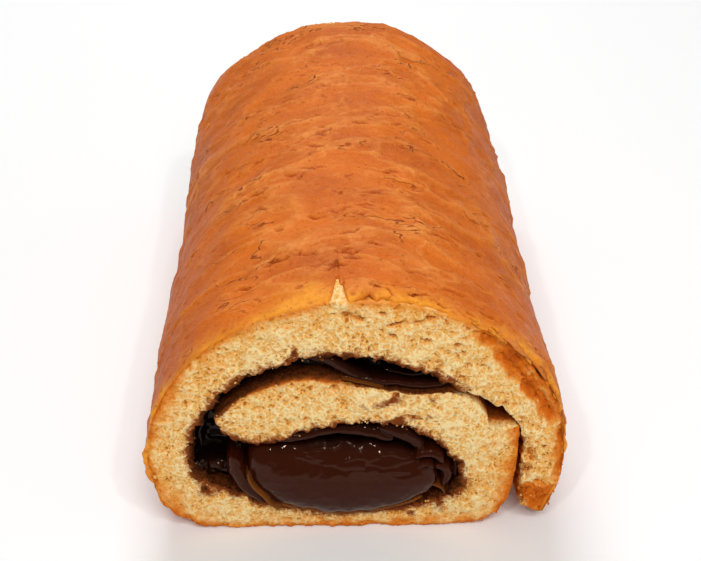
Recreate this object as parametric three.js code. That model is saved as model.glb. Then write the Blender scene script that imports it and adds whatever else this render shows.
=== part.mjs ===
// A swiss roll: one thick sponge sheet rolled a turn and a half round a soft chocolate filling.
//
// Frame: millimetres, +Z up. The origin is under the middle of the roll, on the surface that it
// lies on. +Y runs along the roll, and -Y is the end where the cut shows. +X is to the right,
// seen from that end.
//
// Both solids are strips. A strip lies between two guide lines drawn in the XZ section, and is
// carried along Y. The sheet's guides are its crust side and its cream side.
import * as THREE from "three";

// Driving dimensions
const ROLL_LENGTH = 184;
const HALF_WIDTH = 57.3;
const CROWN_HEIGHT = 78;
const WIDEST_HEIGHT = 25; // the level of the greatest width
const LAYER_AT_RIGHT = 11.5; // thickness of the outer layer, at its right
const LAYER_THICKEST = 19.6;
const LAYER_AT_LEFT = 12;
const THICKENS_FROM = 15; // degrees round the wrap, from the right
const THICKEST_ANGLE = 52;
const WRAP_STEP = 15; // degrees between the stations of the round wrap
const CLEARANCE = 0.35; // between the sheet and the filling

// Unevenness along the roll
const CROWN_SINKS = 0.014; // share of the height by which the shown end is lower
const CROWN_RISES = 0.025; // and by which the far end is higher
const WIDTH_WAVERS = 0.01;
const WAVES = 1.3; // over the roll's length

// How far the filling stands out of the cut or lies back in it
const BULGE = 4;
const ARC_RECESS = 3;
const POCKET_RECESS = 7;

// The filling's ends, counted in stations along the guides
const ARC_FROM_ANGLE = 45;
const ARC_TO_ANGLE = 156;
const PAST_INNER_END = 0.35;
const ARC_FROM_ON_TURN = 3.75; // after the shoulder, along the crust side
const CORE_TO_BEFORE_TURN = 2.4; // before the shoulder, along the cream side
const CORE_TO_ON_UNDERSIDE = 3.4; // before the shoulder's fold, along the cream side

// Fineness
const SHEET_STEPS = 108;
const SHEET_ROWS = 3;
const ARC_STEPS = 30;
const CORE_STEPS = 46;
const FILLING_ROWS = 5;
const SLICES = 8;
const SAMPLES_PER_STEP = 40; // on a guide, to space its points evenly

// Where the pocket gives way to the core, as shares of their strips
const POCKET_FROM = 0.7;
const CORE_RISES_FROM = 0.15;
const CORE_RISES_TO = 0.4;

// Stations of the sheet, each [crust x, crust z, cream x, cream z].
// The loose end hangs at the lower right and stops just above the surface.
const LOOSE_END = [
  [53, 4, 46.2, 6.5],
  [56.2, 14, 45.6, 15],
];
// The sheet rounds the lower left and lies flat under the filling.
const UNDERSIDE = [
  [-54, 9, -41.5, 18.2],
  [-45, 1.6, -33.5, 14],
  [-34, 0, -25.5, 10.2],
  [-18, 0, -13, 7.2],
  [-2, 0, -2, 6.3],
  [12, 0, 10, 7.4],
  [25, 0, 20, 10.2],
];
// It folds up inside the loose end, to a square shoulder.
const FOLD = [
  [36, 1.8, 26.5, 12.8],
  [42.3, 9, 29, 17],
  [44.2, 20, 27.8, 22.5],
  [44.2, 30, 24.5, 27.8],
  [43.6, 36, 21, 31.5],
];
// From the notch behind the shoulder it runs back over the filling to its inner end.
const INNER_TURN = [
  [36, 36.6, 18, 34],
  [34.8, 40.2, 15.5, 35.5],
  [31.6, 44.6, 12.5, 36.8],
  [25.5, 47.9, 8, 37.8],
  [14.5, 48.6, 2, 38.2],
  [3, 50.4, -5, 37.6],
  [-7, 53, -12, 35.8],
  [-17, 53.2, -20, 32.5],
  [-26, 50, -28, 31],
  [-34, 45, -33.5, 33.3],
  [-38, 41.5, -37.3, 38],
];

/** Goes from 0 to 1 as x goes from a to b, level at both ends. */
function ease(x, a, b) {
  return (1 - Math.cos(Math.PI * THREE.MathUtils.clamp((x - a) / (b - a), 0, 1))) / 2;
}

/** Thickness of the outer layer at an angle round the wrap, in degrees from the right. */
function layerThickness(angle) {
  const rise = ease(angle, THICKENS_FROM, THICKEST_ANGLE);
  const fall = ease(angle, THICKEST_ANGLE, 180);
  return (
    LAYER_AT_RIGHT +
    (LAYER_THICKEST - LAYER_AT_RIGHT) * rise -
    (LAYER_THICKEST - LAYER_AT_LEFT) * fall
  );
}

/** The wrap's station at an angle: on a half ellipse, with the layer's thickness inwards. */
function wrapStation(angle) {
  const turn = THREE.MathUtils.degToRad(angle);
  const rise = CROWN_HEIGHT - WIDEST_HEIGHT;
  const crust = new THREE.Vector2(
    HALF_WIDTH * Math.cos(turn),
    WIDEST_HEIGHT + rise * Math.sin(turn),
  );
  const outwards = new THREE.Vector2(
    Math.cos(turn) / HALF_WIDTH,
    Math.sin(turn) / rise,
  ).normalize();
  const cream = crust.clone().addScaledVector(outwards, -layerThickness(angle));
  return [crust.x, crust.y, cream.x, cream.y];
}

const wrap = [];
for (let angle = 0; angle <= 180; angle += WRAP_STEP) wrap.push(wrapStation(angle));
const stations = [...LOOSE_END, ...wrap, ...UNDERSIDE, ...FOLD, ...INNER_TURN];
const crustGuide = new THREE.SplineCurve(stations.map((s) => new THREE.Vector2(s[0], s[1])));
const creamGuide = new THREE.SplineCurve(stations.map((s) => new THREE.Vector2(s[2], s[3])));

/** The stretch of a guide between two stations, as count + 1 evenly spaced points. */
function stretch(guide, from, to, count) {
  const fine = SAMPLES_PER_STEP * count;
  const points = [];
  for (let i = 0; i <= fine; i++) {
    points.push(guide.getPoint((from + ((to - from) * i) / fine) / (stations.length - 1)));
  }
  const lengths = [0];
  for (let i = 1; i <= fine; i++) {
    lengths.push(lengths[i - 1] + points[i].distanceTo(points[i - 1]));
  }
  const spaced = [];
  for (let i = 0, k = 0; i <= count; i++) {
    const wanted = (lengths[fine] * i) / count;
    while (k < fine - 1 && lengths[k + 1] < wanted) k++;
    const share = (wanted - lengths[k]) / (lengths[k + 1] - lengths[k]);
    spaced.push(points[k].clone().lerp(points[k + 1], share));
  }
  return spaced;
}

/** Moves a line of points sideways: to its left if the distance is above 0. */
function shifted(points, distance) {
  return points.map((p, i) => {
    const ahead = points[Math.min(i + 1, points.length - 1)];
    const behind = points[Math.max(i - 1, 0)];
    const along = ahead.clone().sub(behind).normalize();
    return new THREE.Vector2(p.x - along.y * distance, p.y + along.x * distance);
  });
}

/** The roll isn't a true prism: its height and width change a little along Y. */
function settle(x, y, z) {
  const share = y / ROLL_LENGTH + 0.5;
  const width = 1 - WIDTH_WAVERS * Math.sin(Math.PI * WAVES * share) ** 2;
  const height = 1 - CROWN_SINKS * (1 - share) ** 2 + CROWN_RISES * share ** 2;
  return [x * width, y, Math.max(0, z) * height];
}

/**
 * A closed solid between two lines of points in the XZ section, carried along Y.
 * standsOut(i, t) is how far each end stands out at point i of the lines, with t from 0 on the
 * left line to 1 on the right line.
 */
function stripSolid(left, right, rows, standsOut) {
  const ring = (i) => {
    const points = [];
    const add = (t, y) => {
      const x = THREE.MathUtils.lerp(left[i].x, right[i].x, t);
      const z = THREE.MathUtils.lerp(left[i].y, right[i].y, t);
      points.push(settle(x, y, z));
    };
    const half = (t) => ROLL_LENGTH / 2 + standsOut(i, t);
    for (let r = 0; r < rows; r++) add(r / rows, -half(r / rows));
    for (let s = 0; s < SLICES; s++) add(1, THREE.MathUtils.lerp(-half(1), half(1), s / SLICES));
    for (let r = rows; r > 0; r--) add(r / rows, half(r / rows));
    for (let s = SLICES; s > 0; s--) add(0, THREE.MathUtils.lerp(-half(0), half(0), s / SLICES));
    return points;
  };
  const around = 2 * (rows + SLICES);
  const positions = left.flatMap((_, i) => ring(i)).flat();
  const index = [];
  const quad = (a, b, c, d) => index.push(a, b, c, a, c, d);
  for (let i = 0; i + 1 < left.length; i++) {
    for (let k = 0; k < around; k++) {
      const next = (k + 1) % around;
      const base = i * around;
      quad(base + k, base + around + k, base + around + next, base + next);
    }
  }
  // Each of the two narrow ends is a grid from the front rows to the back rows.
  const endCap = (base, facesBack) => {
    const at = (row, slice) => {
      if (slice === 0) return base + row;
      if (slice === SLICES) return base + 2 * rows + SLICES - row;
      return row === rows ? base + rows + slice : base + (around - slice);
    };
    // All rows lie on the two cuts, and only the first and the last between them.
    const across = (slice) => {
      if (slice > 0 && slice < SLICES) return [at(0, slice), at(rows, slice)];
      return Array.from({ length: rows + 1 }, (_, row) => at(row, slice));
    };
    for (let s = 0; s < SLICES; s++) {
      const outline = [...across(s), ...across(s + 1).reverse()];
      for (let k = 1; k + 1 < outline.length; k++) {
        if (facesBack) index.push(outline[0], outline[k + 1], outline[k]);
        else index.push(outline[0], outline[k], outline[k + 1]);
      }
    }
  };
  endCap(0, false);
  endCap((left.length - 1) * around, true);
  const geometry = new THREE.BufferGeometry();
  geometry.setAttribute("position", new THREE.Float32BufferAttribute(positions, 3));
  geometry.setIndex(index);
  geometry.computeVertexNormals();
  return geometry;
}

/** The whole sheet, sampled by station so that its two sides stay opposite each other. */
function sheetGeometry() {
  const crust = crustGuide.getPoints(SHEET_STEPS);
  const cream = creamGuide.getPoints(SHEET_STEPS);
  return stripSolid(crust, cream, SHEET_ROWS, () => 0);
}

/**
 * The filling: a thin arc between the two layers, then a pocket at the left and the thick core
 * inside the fold. Its left line follows the wrap and the underside, and its right line follows
 * the inner turn, round its end and back along its lower side.
 */
function fillingGeometry() {
  const last = stations.length - 1;
  const arcStart = LOOSE_END.length + ARC_FROM_ANGLE / WRAP_STEP;
  const arcEnd = LOOSE_END.length + ARC_TO_ANGLE / WRAP_STEP;
  const shoulder = last - INNER_TURN.length;
  const coreEnd = shoulder - CORE_TO_ON_UNDERSIDE;
  const overTurn = shoulder + ARC_FROM_ON_TURN;
  const underTurn = shoulder - CORE_TO_BEFORE_TURN;
  const outside = [
    ...stretch(creamGuide, arcStart, arcEnd, ARC_STEPS),
    ...stretch(creamGuide, arcEnd + PAST_INNER_END, coreEnd, CORE_STEPS),
  ];
  const inside = [
    ...stretch(crustGuide, overTurn, last, ARC_STEPS),
    ...stretch(creamGuide, last, underTurn, CORE_STEPS),
  ];
  const standsOut = (i, t) => {
    const alongCore = (i - ARC_STEPS) / CORE_STEPS;
    const core = ease(alongCore, CORE_RISES_FROM, CORE_RISES_TO);
    const pocket = ease(i / ARC_STEPS, POCKET_FROM, 1) * (1 - core);
    const arc = 1 - core - pocket;
    const dome = Math.max(0, Math.sin(Math.PI * t) * Math.sin(Math.PI * alongCore));
    return core * BULGE * dome - pocket * POCKET_RECESS - arc * ARC_RECESS;
  };
  return stripSolid(shifted(outside, CLEARANCE), shifted(inside, -CLEARANCE), FILLING_ROWS, standsOut);
}

const crumb = new THREE.MeshStandardMaterial({ color: 0xe8bb6c, roughness: 0.9, metalness: 0 });
const chocolate = new THREE.MeshStandardMaterial({ color: 0x2c130c, roughness: 0.25, metalness: 0 });

const roll = new THREE.Group();
const sponge = new THREE.Mesh(sheetGeometry(), crumb);
sponge.name = "sponge";
roll.add(sponge);
const filling = new THREE.Mesh(fillingGeometry(), chocolate);
filling.name = "filling";
roll.add(filling);

export default roll;
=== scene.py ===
"""Looks of a swiss roll: a thick sponge sheet rolled round a chocolate filling, cut across at both ends.

The roll lies along Y, with the shown cut at -Y. Its section, in XZ, is a strip between two guide lines: the
crust side and the cream side of the sheet. Shapes are worked out in millimetres with numpy and brought to
metres when a mesh is made. Marks on the surface, such as stains and the depth of pores that is painted as
shade, are point attributes, which the finishes read.
"""

import logging
import math
from dataclasses import dataclass
from enum import Enum
from itertools import product

import bmesh
import bpy
import numpy as np
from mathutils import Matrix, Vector
from numpy.typing import NDArray


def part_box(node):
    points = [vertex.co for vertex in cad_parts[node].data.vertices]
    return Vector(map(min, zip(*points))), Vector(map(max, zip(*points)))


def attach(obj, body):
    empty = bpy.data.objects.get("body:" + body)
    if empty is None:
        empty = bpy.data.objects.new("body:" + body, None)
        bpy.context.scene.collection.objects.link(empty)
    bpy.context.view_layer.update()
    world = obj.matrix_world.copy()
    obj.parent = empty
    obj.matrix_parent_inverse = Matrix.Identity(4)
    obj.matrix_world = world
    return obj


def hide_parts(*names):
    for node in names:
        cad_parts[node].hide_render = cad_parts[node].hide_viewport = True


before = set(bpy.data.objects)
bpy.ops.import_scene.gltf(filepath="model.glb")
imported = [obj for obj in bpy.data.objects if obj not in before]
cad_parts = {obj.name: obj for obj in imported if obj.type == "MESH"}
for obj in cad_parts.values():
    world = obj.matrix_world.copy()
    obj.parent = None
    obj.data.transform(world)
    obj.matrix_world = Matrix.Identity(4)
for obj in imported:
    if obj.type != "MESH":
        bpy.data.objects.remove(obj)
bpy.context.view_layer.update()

Array = NDArray[np.float64]
Socket = bpy.types.NodeSocket
Inputs = dict[int | str, object]
Pair = tuple[float, float]
MM = 0.001
log = logging.getLogger("swiss_roll")


class Side(Enum):
    """The two faces of the sponge sheet."""

    CRUST = 0
    CREAM = 1


class End(Enum):
    """The two cuts of the roll, each with the way that it faces along Y."""

    FRONT = -1.0
    BACK = 1.0


# ---------------------------------------------------------------- noise


def ease(value: Array | float, start: float, stop: float) -> Array:
    """Goes from 0 to 1 as value goes from start to stop, level at both ends (a smoothed clamp)."""
    share = np.clip((np.asarray(value, float) - start) / (stop - start), 0.0, 1.0)
    return share * share * (3 - 2 * share)


def lots(cells: Array, seed: int) -> Array:
    """One random number from 0 to 1 for each whole-number cell.

    The cell's indices are multiplied by large odd numbers, added, and mixed by shifts and multiplications.

    Args:
        cells: whole numbers, with the axes of a cell last.
        seed: makes a different set of numbers.

    Returns:
        One number for each cell.
    """
    odd = np.array([0x9E3779B97F4A7C15, 0xC2B2AE3D27D4EB4F, 0x165667B19E3779F9], np.uint64)
    mixed = (cells.astype(np.int64).astype(np.uint64) * odd[: cells.shape[-1]]).sum(-1)
    mixed = mixed + np.full(1, seed + 1, np.uint64) * odd[2]
    for shift in (31, 29, 32):
        mixed ^= mixed >> np.uint64(shift)
        mixed *= odd[0]
    return (mixed >> np.uint64(11)) / 2.0**53


def billow(points: Array, cell: float, seed: int, octaves: int = 1) -> Array:
    """Smooth noise from about -1 to 1: random heights at the corners of square cells, eased between them.

    Args:
        points: places in two or three dimensions, with the axes last.
        cell: side of a cell, in the units of points.
        seed: makes a different pattern.
        octaves: layers added up, each with half the cell and half the height of the last.

    Returns:
        One height for each place.
    """
    total = np.zeros(points.shape[:-1])
    reach = 0.0
    for octave in range(octaves):
        scaled = points * (2.0**octave / cell)
        corner = np.floor(scaled)
        share = scaled - corner
        share = share * share * (3 - 2 * share)
        layer = np.zeros_like(total)
        for offset in product((0, 1), repeat=points.shape[-1]):
            weight = np.where(np.array(offset) == 1, share, 1 - share).prod(-1)
            layer += weight * lots(corner + offset, seed + 101 * octave)
        total += (2 * layer - 1) * 0.5**octave
        reach += 0.5**octave
    return total / reach


def bowls(points: Array, cell: float, seed: int, radii: Pair, filled: float = 1.0) -> Array:
    """Depth, from 0 to 1, of round bowls scattered one to a cell: (1 - (distance / radius) squared).

    Args:
        points: places in two dimensions, with the axes last.
        cell: side of a cell, in the units of points.
        seed: makes a different pattern.
        radii: the smallest and the largest bowl.
        filled: share of the cells that have a bowl.

    Returns:
        One depth for each place, that of the deepest bowl there.
    """
    home = np.floor(points / cell)
    depth = np.zeros(points.shape[:-1])
    for offset in product((-1, 0, 1), repeat=2):
        near = home + offset
        centre = (near + np.stack([lots(near, seed), lots(near, seed + 1)], -1)) * cell
        radius = radii[0] + (radii[1] - radii[0]) * lots(near, seed + 2) ** 2
        apart = ((points - centre) ** 2).sum(-1) / radius**2
        bowl = np.clip(1 - apart, 0, 1) * (lots(near, seed + 3) < filled)
        depth = np.maximum(depth, bowl)
    return depth


@dataclass(frozen=True)
class Ripple:
    """One layer of noise on a surface: the side of its cells, its height, its seed and its octaves."""

    cell: float
    height: float
    seed: int
    octaves: int = 1


def rippled(points: Array, ripples: tuple[Ripple, ...]) -> Array:
    """Layers of noise added up, each times its height."""
    return sum(r.height * billow(points, r.cell, r.seed, r.octaves) for r in ripples)


def crests(points: Array, cell: float, seed: int, octaves: int, power: int) -> Array:
    """Crests along the lines where noise passes through 0: 1 less the noise's size, raised to a power.

    Args:
        points: places in two or three dimensions, with the axes last.
        cell: side of a cell of the noise, in the units of points.
        seed: makes a different pattern.
        octaves: layers of the noise.
        power: the higher it is, the thinner the crests.

    Returns:
        One height for each place, 1 on a crest.
    """
    return (1 - np.abs(billow(points, cell, seed, octaves))) ** power


def pushes(points: Array, cell: float, seeds: tuple[int, int], octaves: int = 1) -> Array:
    """Two noises side by side at each place, to push it about with."""
    return np.stack([billow(points, cell, seed, octaves) for seed in seeds], -1)


def band(value: Array, start: float, full: float, ebbs: float, stop: float) -> Array:
    """Goes from 0 to 1 between start and full, and back to 0 between ebbs and stop."""
    return ease(value, start, full) * (1 - ease(value, ebbs, stop))


# ---------------------------------------------------------------- lines


def cubic(before: Array, here: Array, there: Array, after: Array, share: Array) -> Array:
    """Points on a cubic between two points. Its slope at each is half the step between that one's neighbours.

    Args:
        before: the point before the stretch.
        here: the stretch's first point.
        there: its last point.
        after: the point after it.
        share: how far along the stretch, from 0 to 1.

    Returns:
        The points.
    """
    slope_here, slope_there = (there - before) / 2, (after - here) / 2
    cube = 2 * here - 2 * there + slope_here + slope_there
    square = -3 * here + 3 * there - 2 * slope_here - slope_there
    return ((cube * share + square) * share + slope_here) * share + here


def run_along(line: Array) -> Array:
    """Distance from a line's first point to each of its points, along the line."""
    return np.concatenate([[0.0], np.cumsum(np.linalg.norm(np.diff(line, axis=0), axis=1))])


def to_right(line: Array) -> Array:
    """Vectors of length 1 to the right of a line: its slope, turned by a quarter.

    Args:
        line: the line's points.

    Returns:
        One vector for each point.
    """
    slope = np.gradient(line, axis=0)
    right = np.stack([slope[:, 1], -slope[:, 0]], -1)
    return right / np.linalg.norm(right, axis=1, keepdims=True)


# ---------------------------------------------------------------- the section


@dataclass(frozen=True)
class Section:
    """The roll's section and how it is carried along Y, in millimetres."""

    low: tuple[float, float, float]
    high: tuple[float, float, float]
    drawn_half_width: float = 57.3
    drawn_height: float = 78.0
    widest_height: float = 25.0
    layer_at_right: float = 11.5
    layer_thickest: float = 19.6
    layer_at_left: float = 12.0
    thickens_from: float = 15.0
    thickest_angle: float = 52.0
    wrap_step: float = 15.0
    crown_sinks: float = 0.014
    crown_rises: float = 0.025
    width_wavers: float = 0.01
    waves: float = 1.3
    measured_in: int = 40
    # Stations of the sheet, each (crust x, crust z, cream x, cream z)
    loose_end: tuple = ((53, 4, 46.2, 6.5), (56.2, 14, 45.6, 15))
    underside: tuple = (
        (-54, 9, -41.5, 18.2),
        (-45, 1.6, -33.5, 14),
        (-34, 0, -25.5, 10.2),
        (-18, 0, -13, 7.2),
        (-2, 0, -2, 6.3),
        (12, 0, 10, 7.4),
        (25, 0, 20, 10.2),
    )
    fold: tuple = (
        (36, 1.8, 26.5, 12.8),
        (42.3, 9, 29, 17),
        (44.2, 20, 27.8, 22.5),
        (44.2, 30, 24.5, 27.8),
        (43.6, 36, 21, 31.5),
    )
    inner_turn: tuple = (
        (36, 36.6, 18, 34),
        (34.8, 40.2, 15.5, 35.5),
        (31.6, 44.6, 12.5, 36.8),
        (25.5, 47.9, 8, 37.8),
        (14.5, 48.6, 2, 38.2),
        (3, 50.4, -5, 37.6),
        (-7, 53, -12, 35.8),
        (-17, 53.2, -20, 32.5),
        (-26, 50, -28, 31),
        (-34, 45, -33.5, 33.3),
        (-38, 41.5, -37.3, 38),
    )

    def stations(self) -> Array:
        """Every station in order: the loose end, the round wrap, the underside, the fold and the inner turn.

        The wrap's crust runs on a half ellipse, and its cream side lies one thickness inside it.

        Returns:
            Rows of (crust x, crust z, cream x, cream z).
        """
        angle = np.arange(0.0, 180.0 + self.wrap_step / 2, self.wrap_step)
        to_thickest = (angle - self.thickens_from) / (self.thickest_angle - self.thickens_from)
        past_it = (angle - self.thickest_angle) / (180.0 - self.thickest_angle)
        rise = (1 - np.cos(np.pi * np.clip(to_thickest, 0, 1))) / 2
        fall = (1 - np.cos(np.pi * np.clip(past_it, 0, 1))) / 2
        layer = self.layer_at_right + (self.layer_thickest - self.layer_at_right) * rise
        layer = layer - (self.layer_thickest - self.layer_at_left) * fall
        turn = np.radians(angle)
        wide, high = self.drawn_half_width, self.drawn_height - self.widest_height
        crust = np.stack([wide * np.cos(turn), self.widest_height + high * np.sin(turn)], -1)
        outwards = np.stack([np.cos(turn) / wide, np.sin(turn) / high], -1)
        outwards /= np.linalg.norm(outwards, axis=-1, keepdims=True)
        wrap = np.hstack([crust, crust - outwards * layer[:, None]])
        return np.vstack([self.loose_end, wrap, self.underside, self.fold, self.inner_turn]).astype(float)

    def last(self) -> int:
        """The number of the last station, at the sheet's inner end."""
        return len(self.stations()) - 1

    def corner(self) -> int:
        """The number of the station at the square shoulder, where the crust shows last."""
        return self.last() - len(self.inner_turn)

    def level(self, end: End) -> float:
        """Where a cut lies along Y."""
        return self.low[1] if end is End.FRONT else self.high[1]

    def at_angle(self, angle: float) -> float:
        """The place round the wrap at an angle in degrees from the right, counted in stations."""
        return len(self.loose_end) + angle / self.wrap_step

    def guide(self, side: Side, places: Array) -> Array:
        """Points of one side of the sheet, on cubics through its stations, scaled to the roll's true size.

        Args:
            side: the crust side or the cream side.
            places: where along the sheet, counted in stations.

        Returns:
            The points, as (x, z).
        """
        points = self.stations()[:, 2 * side.value : 2 * side.value + 2]
        wide = (self.high[0] - self.low[0]) / (2 * self.drawn_half_width)
        tall = self.high[2] / (self.drawn_height * (1 + self.crown_rises))
        end = len(points) - 1
        first = np.clip(np.floor(places).astype(int), 0, end - 1)
        before, after = points[np.maximum(first - 1, 0)], points[np.minimum(first + 2, end)]
        share = (places - first)[..., None]
        return cubic(before, points[first], points[first + 1], after, share) * (wide, tall)

    def even_places(self, start: float, stop: float, count: int, side: Side | None = None) -> Array:
        """Places between two stations that cut the sheet's middle, or one side of it, into equal steps.

        Args:
            start: the first place, counted in stations.
            stop: the last place.
            count: number of steps.
            side: the side to step along, or None for the middle.

        Returns:
            The places, one more than count.
        """
        fine = np.linspace(start, stop, self.measured_in * count + 1)
        if side is None:
            line = (self.guide(Side.CRUST, fine) + self.guide(Side.CREAM, fine)) / 2
        else:
            line = self.guide(side, fine)
        run = run_along(line)
        return np.interp(np.linspace(0, run[-1], count + 1), run, fine)

    def settle(self, points: Array) -> Array:
        """Makes the roll lower at the shown cut, higher at the far one, and narrower where it wavers.

        Width is taken down by a squared sine along Y. Height falls by the square of the distance from the far
        end, and rises by the square of the distance from the shown cut.

        Args:
            points: points of the drawn roll, as (x, y, z).

        Returns:
            The points, moved.
        """
        share = np.clip((points[..., 1] - self.low[1]) / (self.high[1] - self.low[1]), 0, 1)
        width = 1 - self.width_wavers * np.sin(np.pi * self.waves * share) ** 2
        height = 1 - self.crown_sinks * (1 - share) ** 2 + self.crown_rises * share**2
        return points * np.stack([width, np.ones_like(width), height], -1)


@dataclass(frozen=True)
class Spot:
    """A soft oval on the cut: its middle, its half sizes and its lean, in millimetres and degrees."""

    x: float
    z: float
    wide: float
    high: float
    lean: float = 0.0

    def share(self, flat: Array) -> Array:
        """1 in the middle, falling to 0 at the edge as (1 - distance squared) squared.

        Args:
            flat: places on the cut, as (x, z).

        Returns:
            One share for each place.
        """
        turn = math.radians(self.lean)
        x, z = flat[..., 0] - self.x, flat[..., 1] - self.z
        along = x * math.cos(turn) + z * math.sin(turn)
        across = z * math.cos(turn) - x * math.sin(turn)
        return np.clip(1 - (along / self.wide) ** 2 - (across / self.high) ** 2, 0, 1) ** 2


# ---------------------------------------------------------------- closed meshes


@dataclass
class Hull:
    """A closed solid: a near grid, rings round its edge, and a far grid that closes the other side.

    A ring has as many points as the loop before it, or half as many.
    """

    near: Array
    rings: list[Array]
    far: Array

    @staticmethod
    def edge(shape: tuple[int, ...]) -> NDArray[np.int64]:
        """Indices of the points round the edge of a grid of this shape."""
        index = np.arange(shape[0] * shape[1]).reshape(shape[:2])
        return np.concatenate([index[:-1, 0], index[-1, :-1], index[:0:-1, -1], index[0, :0:-1]])

    @staticmethod
    def cells(shape: tuple[int, ...], first: int, turned: bool) -> NDArray[np.int64]:
        """The quads of a grid whose points are stored row by row.

        Args:
            shape: the grid's shape.
            first: index of its first point.
            turned: whether they face the other way.

        Returns:
            Four indices for each quad.
        """
        index = np.arange(shape[0] * shape[1]).reshape(shape[:2]) + first
        quads = np.stack([index[:-1, :-1], index[:-1, 1:], index[1:, 1:], index[1:, :-1]], -1).reshape(-1, 4)
        return quads[:, ::-1] if turned else quads

    @staticmethod
    def between(loop: NDArray, after: NDArray) -> tuple[NDArray, NDArray]:
        """The faces between one loop and the next.

        Args:
            loop: indices of the first loop.
            after: indices of the next, as many or half as many.

        Returns:
            The quads and the triangles, one of them empty.
        """
        ahead = np.roll(loop, -1)
        if len(loop) == len(after):
            return np.stack([loop, ahead, np.roll(after, -1), after], -1), np.zeros((0, 3), int)
        even, odd, beyond = loop[0::2], loop[1::2], ahead[1::2]
        later = np.roll(after, -1)
        fans = [np.stack([even, odd, after], -1), np.stack([odd, beyond, later], -1)]
        return np.zeros((0, 4), int), np.vstack([*fans, np.stack([odd, later, after], -1)])

    def points(self) -> Array:
        """Every point: the near grid, the rings and the far grid."""
        return np.vstack([self.near.reshape(-1, 3), *self.rings, self.far.reshape(-1, 3)])

    def faces(self) -> tuple[NDArray, NDArray]:
        """Quads and triangles over all points, turned so that they face outwards.

        Returns:
            Four indices for each quad, and three for each triangle.
        """
        starts = np.cumsum([self.near[..., 0].size, *[len(r) for r in self.rings]])
        loops = [self.edge(self.near.shape)]
        loops += [np.arange(len(r)) + s for r, s in zip(self.rings, starts)]
        loops.append(self.edge(self.far.shape) + starts[-1])
        quads = [self.cells(self.near.shape, 0, False), self.cells(self.far.shape, int(starts[-1]), True)]
        triangles = []
        for loop, after in zip(loops, loops[1:]):
            four, three = self.between(loop, after)
            quads.append(four)
            triangles.append(three)
        return np.vstack(quads), np.vstack(triangles)


def make_piece(
    name: str,
    points: Array,
    faces: tuple[NDArray, NDArray],
    marks: dict[str, Array],
    material: bpy.types.Material,
) -> bpy.types.Object:
    """Makes an object of a closed mesh, with smooth shading and its faces outwards.

    Args:
        name: the piece's name.
        points: its points in millimetres.
        faces: four indices for each quad, and three for each triangle.
        marks: point attributes, as numbers or as vectors of three.
        material: its finish.

    Returns:
        The object, at the origin.
    """
    quads, triangles = faces
    split = np.vstack([triangles, quads[:, [0, 1, 2]], quads[:, [0, 2, 3]]]).astype(int)
    a, b, c = points[split[:, 0]], points[split[:, 1]], points[split[:, 2]]
    if (a * np.cross(b, c)).sum() < 0:
        quads, triangles = quads[:, ::-1], triangles[:, ::-1]
    mesh = bpy.data.meshes.new(name)
    corners = np.concatenate([quads.ravel(), triangles.ravel()]).astype(np.int32)
    starts = np.concatenate([np.arange(len(quads)) * 4, len(quads) * 4 + np.arange(len(triangles)) * 3])
    mesh.vertices.add(len(points))
    mesh.loops.add(len(corners))
    mesh.polygons.add(len(starts))
    mesh.vertices.foreach_set("co", (points * MM).ravel())
    mesh.loops.foreach_set("vertex_index", corners)
    mesh.polygons.foreach_set("loop_start", starts.astype(np.int32))
    mesh.polygons.foreach_set("use_smooth", np.ones(len(starts), bool))
    for mark, values in marks.items():
        vector = values.ndim == 2
        attribute = mesh.attributes.new(mark, "FLOAT_VECTOR" if vector else "FLOAT", "POINT")
        attribute.data.foreach_set("vector" if vector else "value", values.astype(np.float32).ravel())
    mesh.update(calc_edges=True)
    mesh.validate()
    mesh.materials.append(material)
    piece = bpy.data.objects.new(name, mesh)
    bpy.context.scene.collection.objects.link(piece)
    return piece


# ---------------------------------------------------------------- finishes


def tint(red: float, green: float, blue: float) -> tuple[float, float, float, float]:
    """A colour of a paint chart, from 0 to 255 a channel, as light that a shader reads.

    Args:
        red: the red channel.
        green: the green channel.
        blue: the blue channel.

    Returns:
        Red, green, blue and a full alpha, as light.
    """
    channels = np.array([red, green, blue]) / 255
    linear = np.where(channels <= 0.04045, channels / 12.92, ((channels + 0.055) / 1.055) ** 2.4)
    return (*map(float, linear), 1.0)


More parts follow.
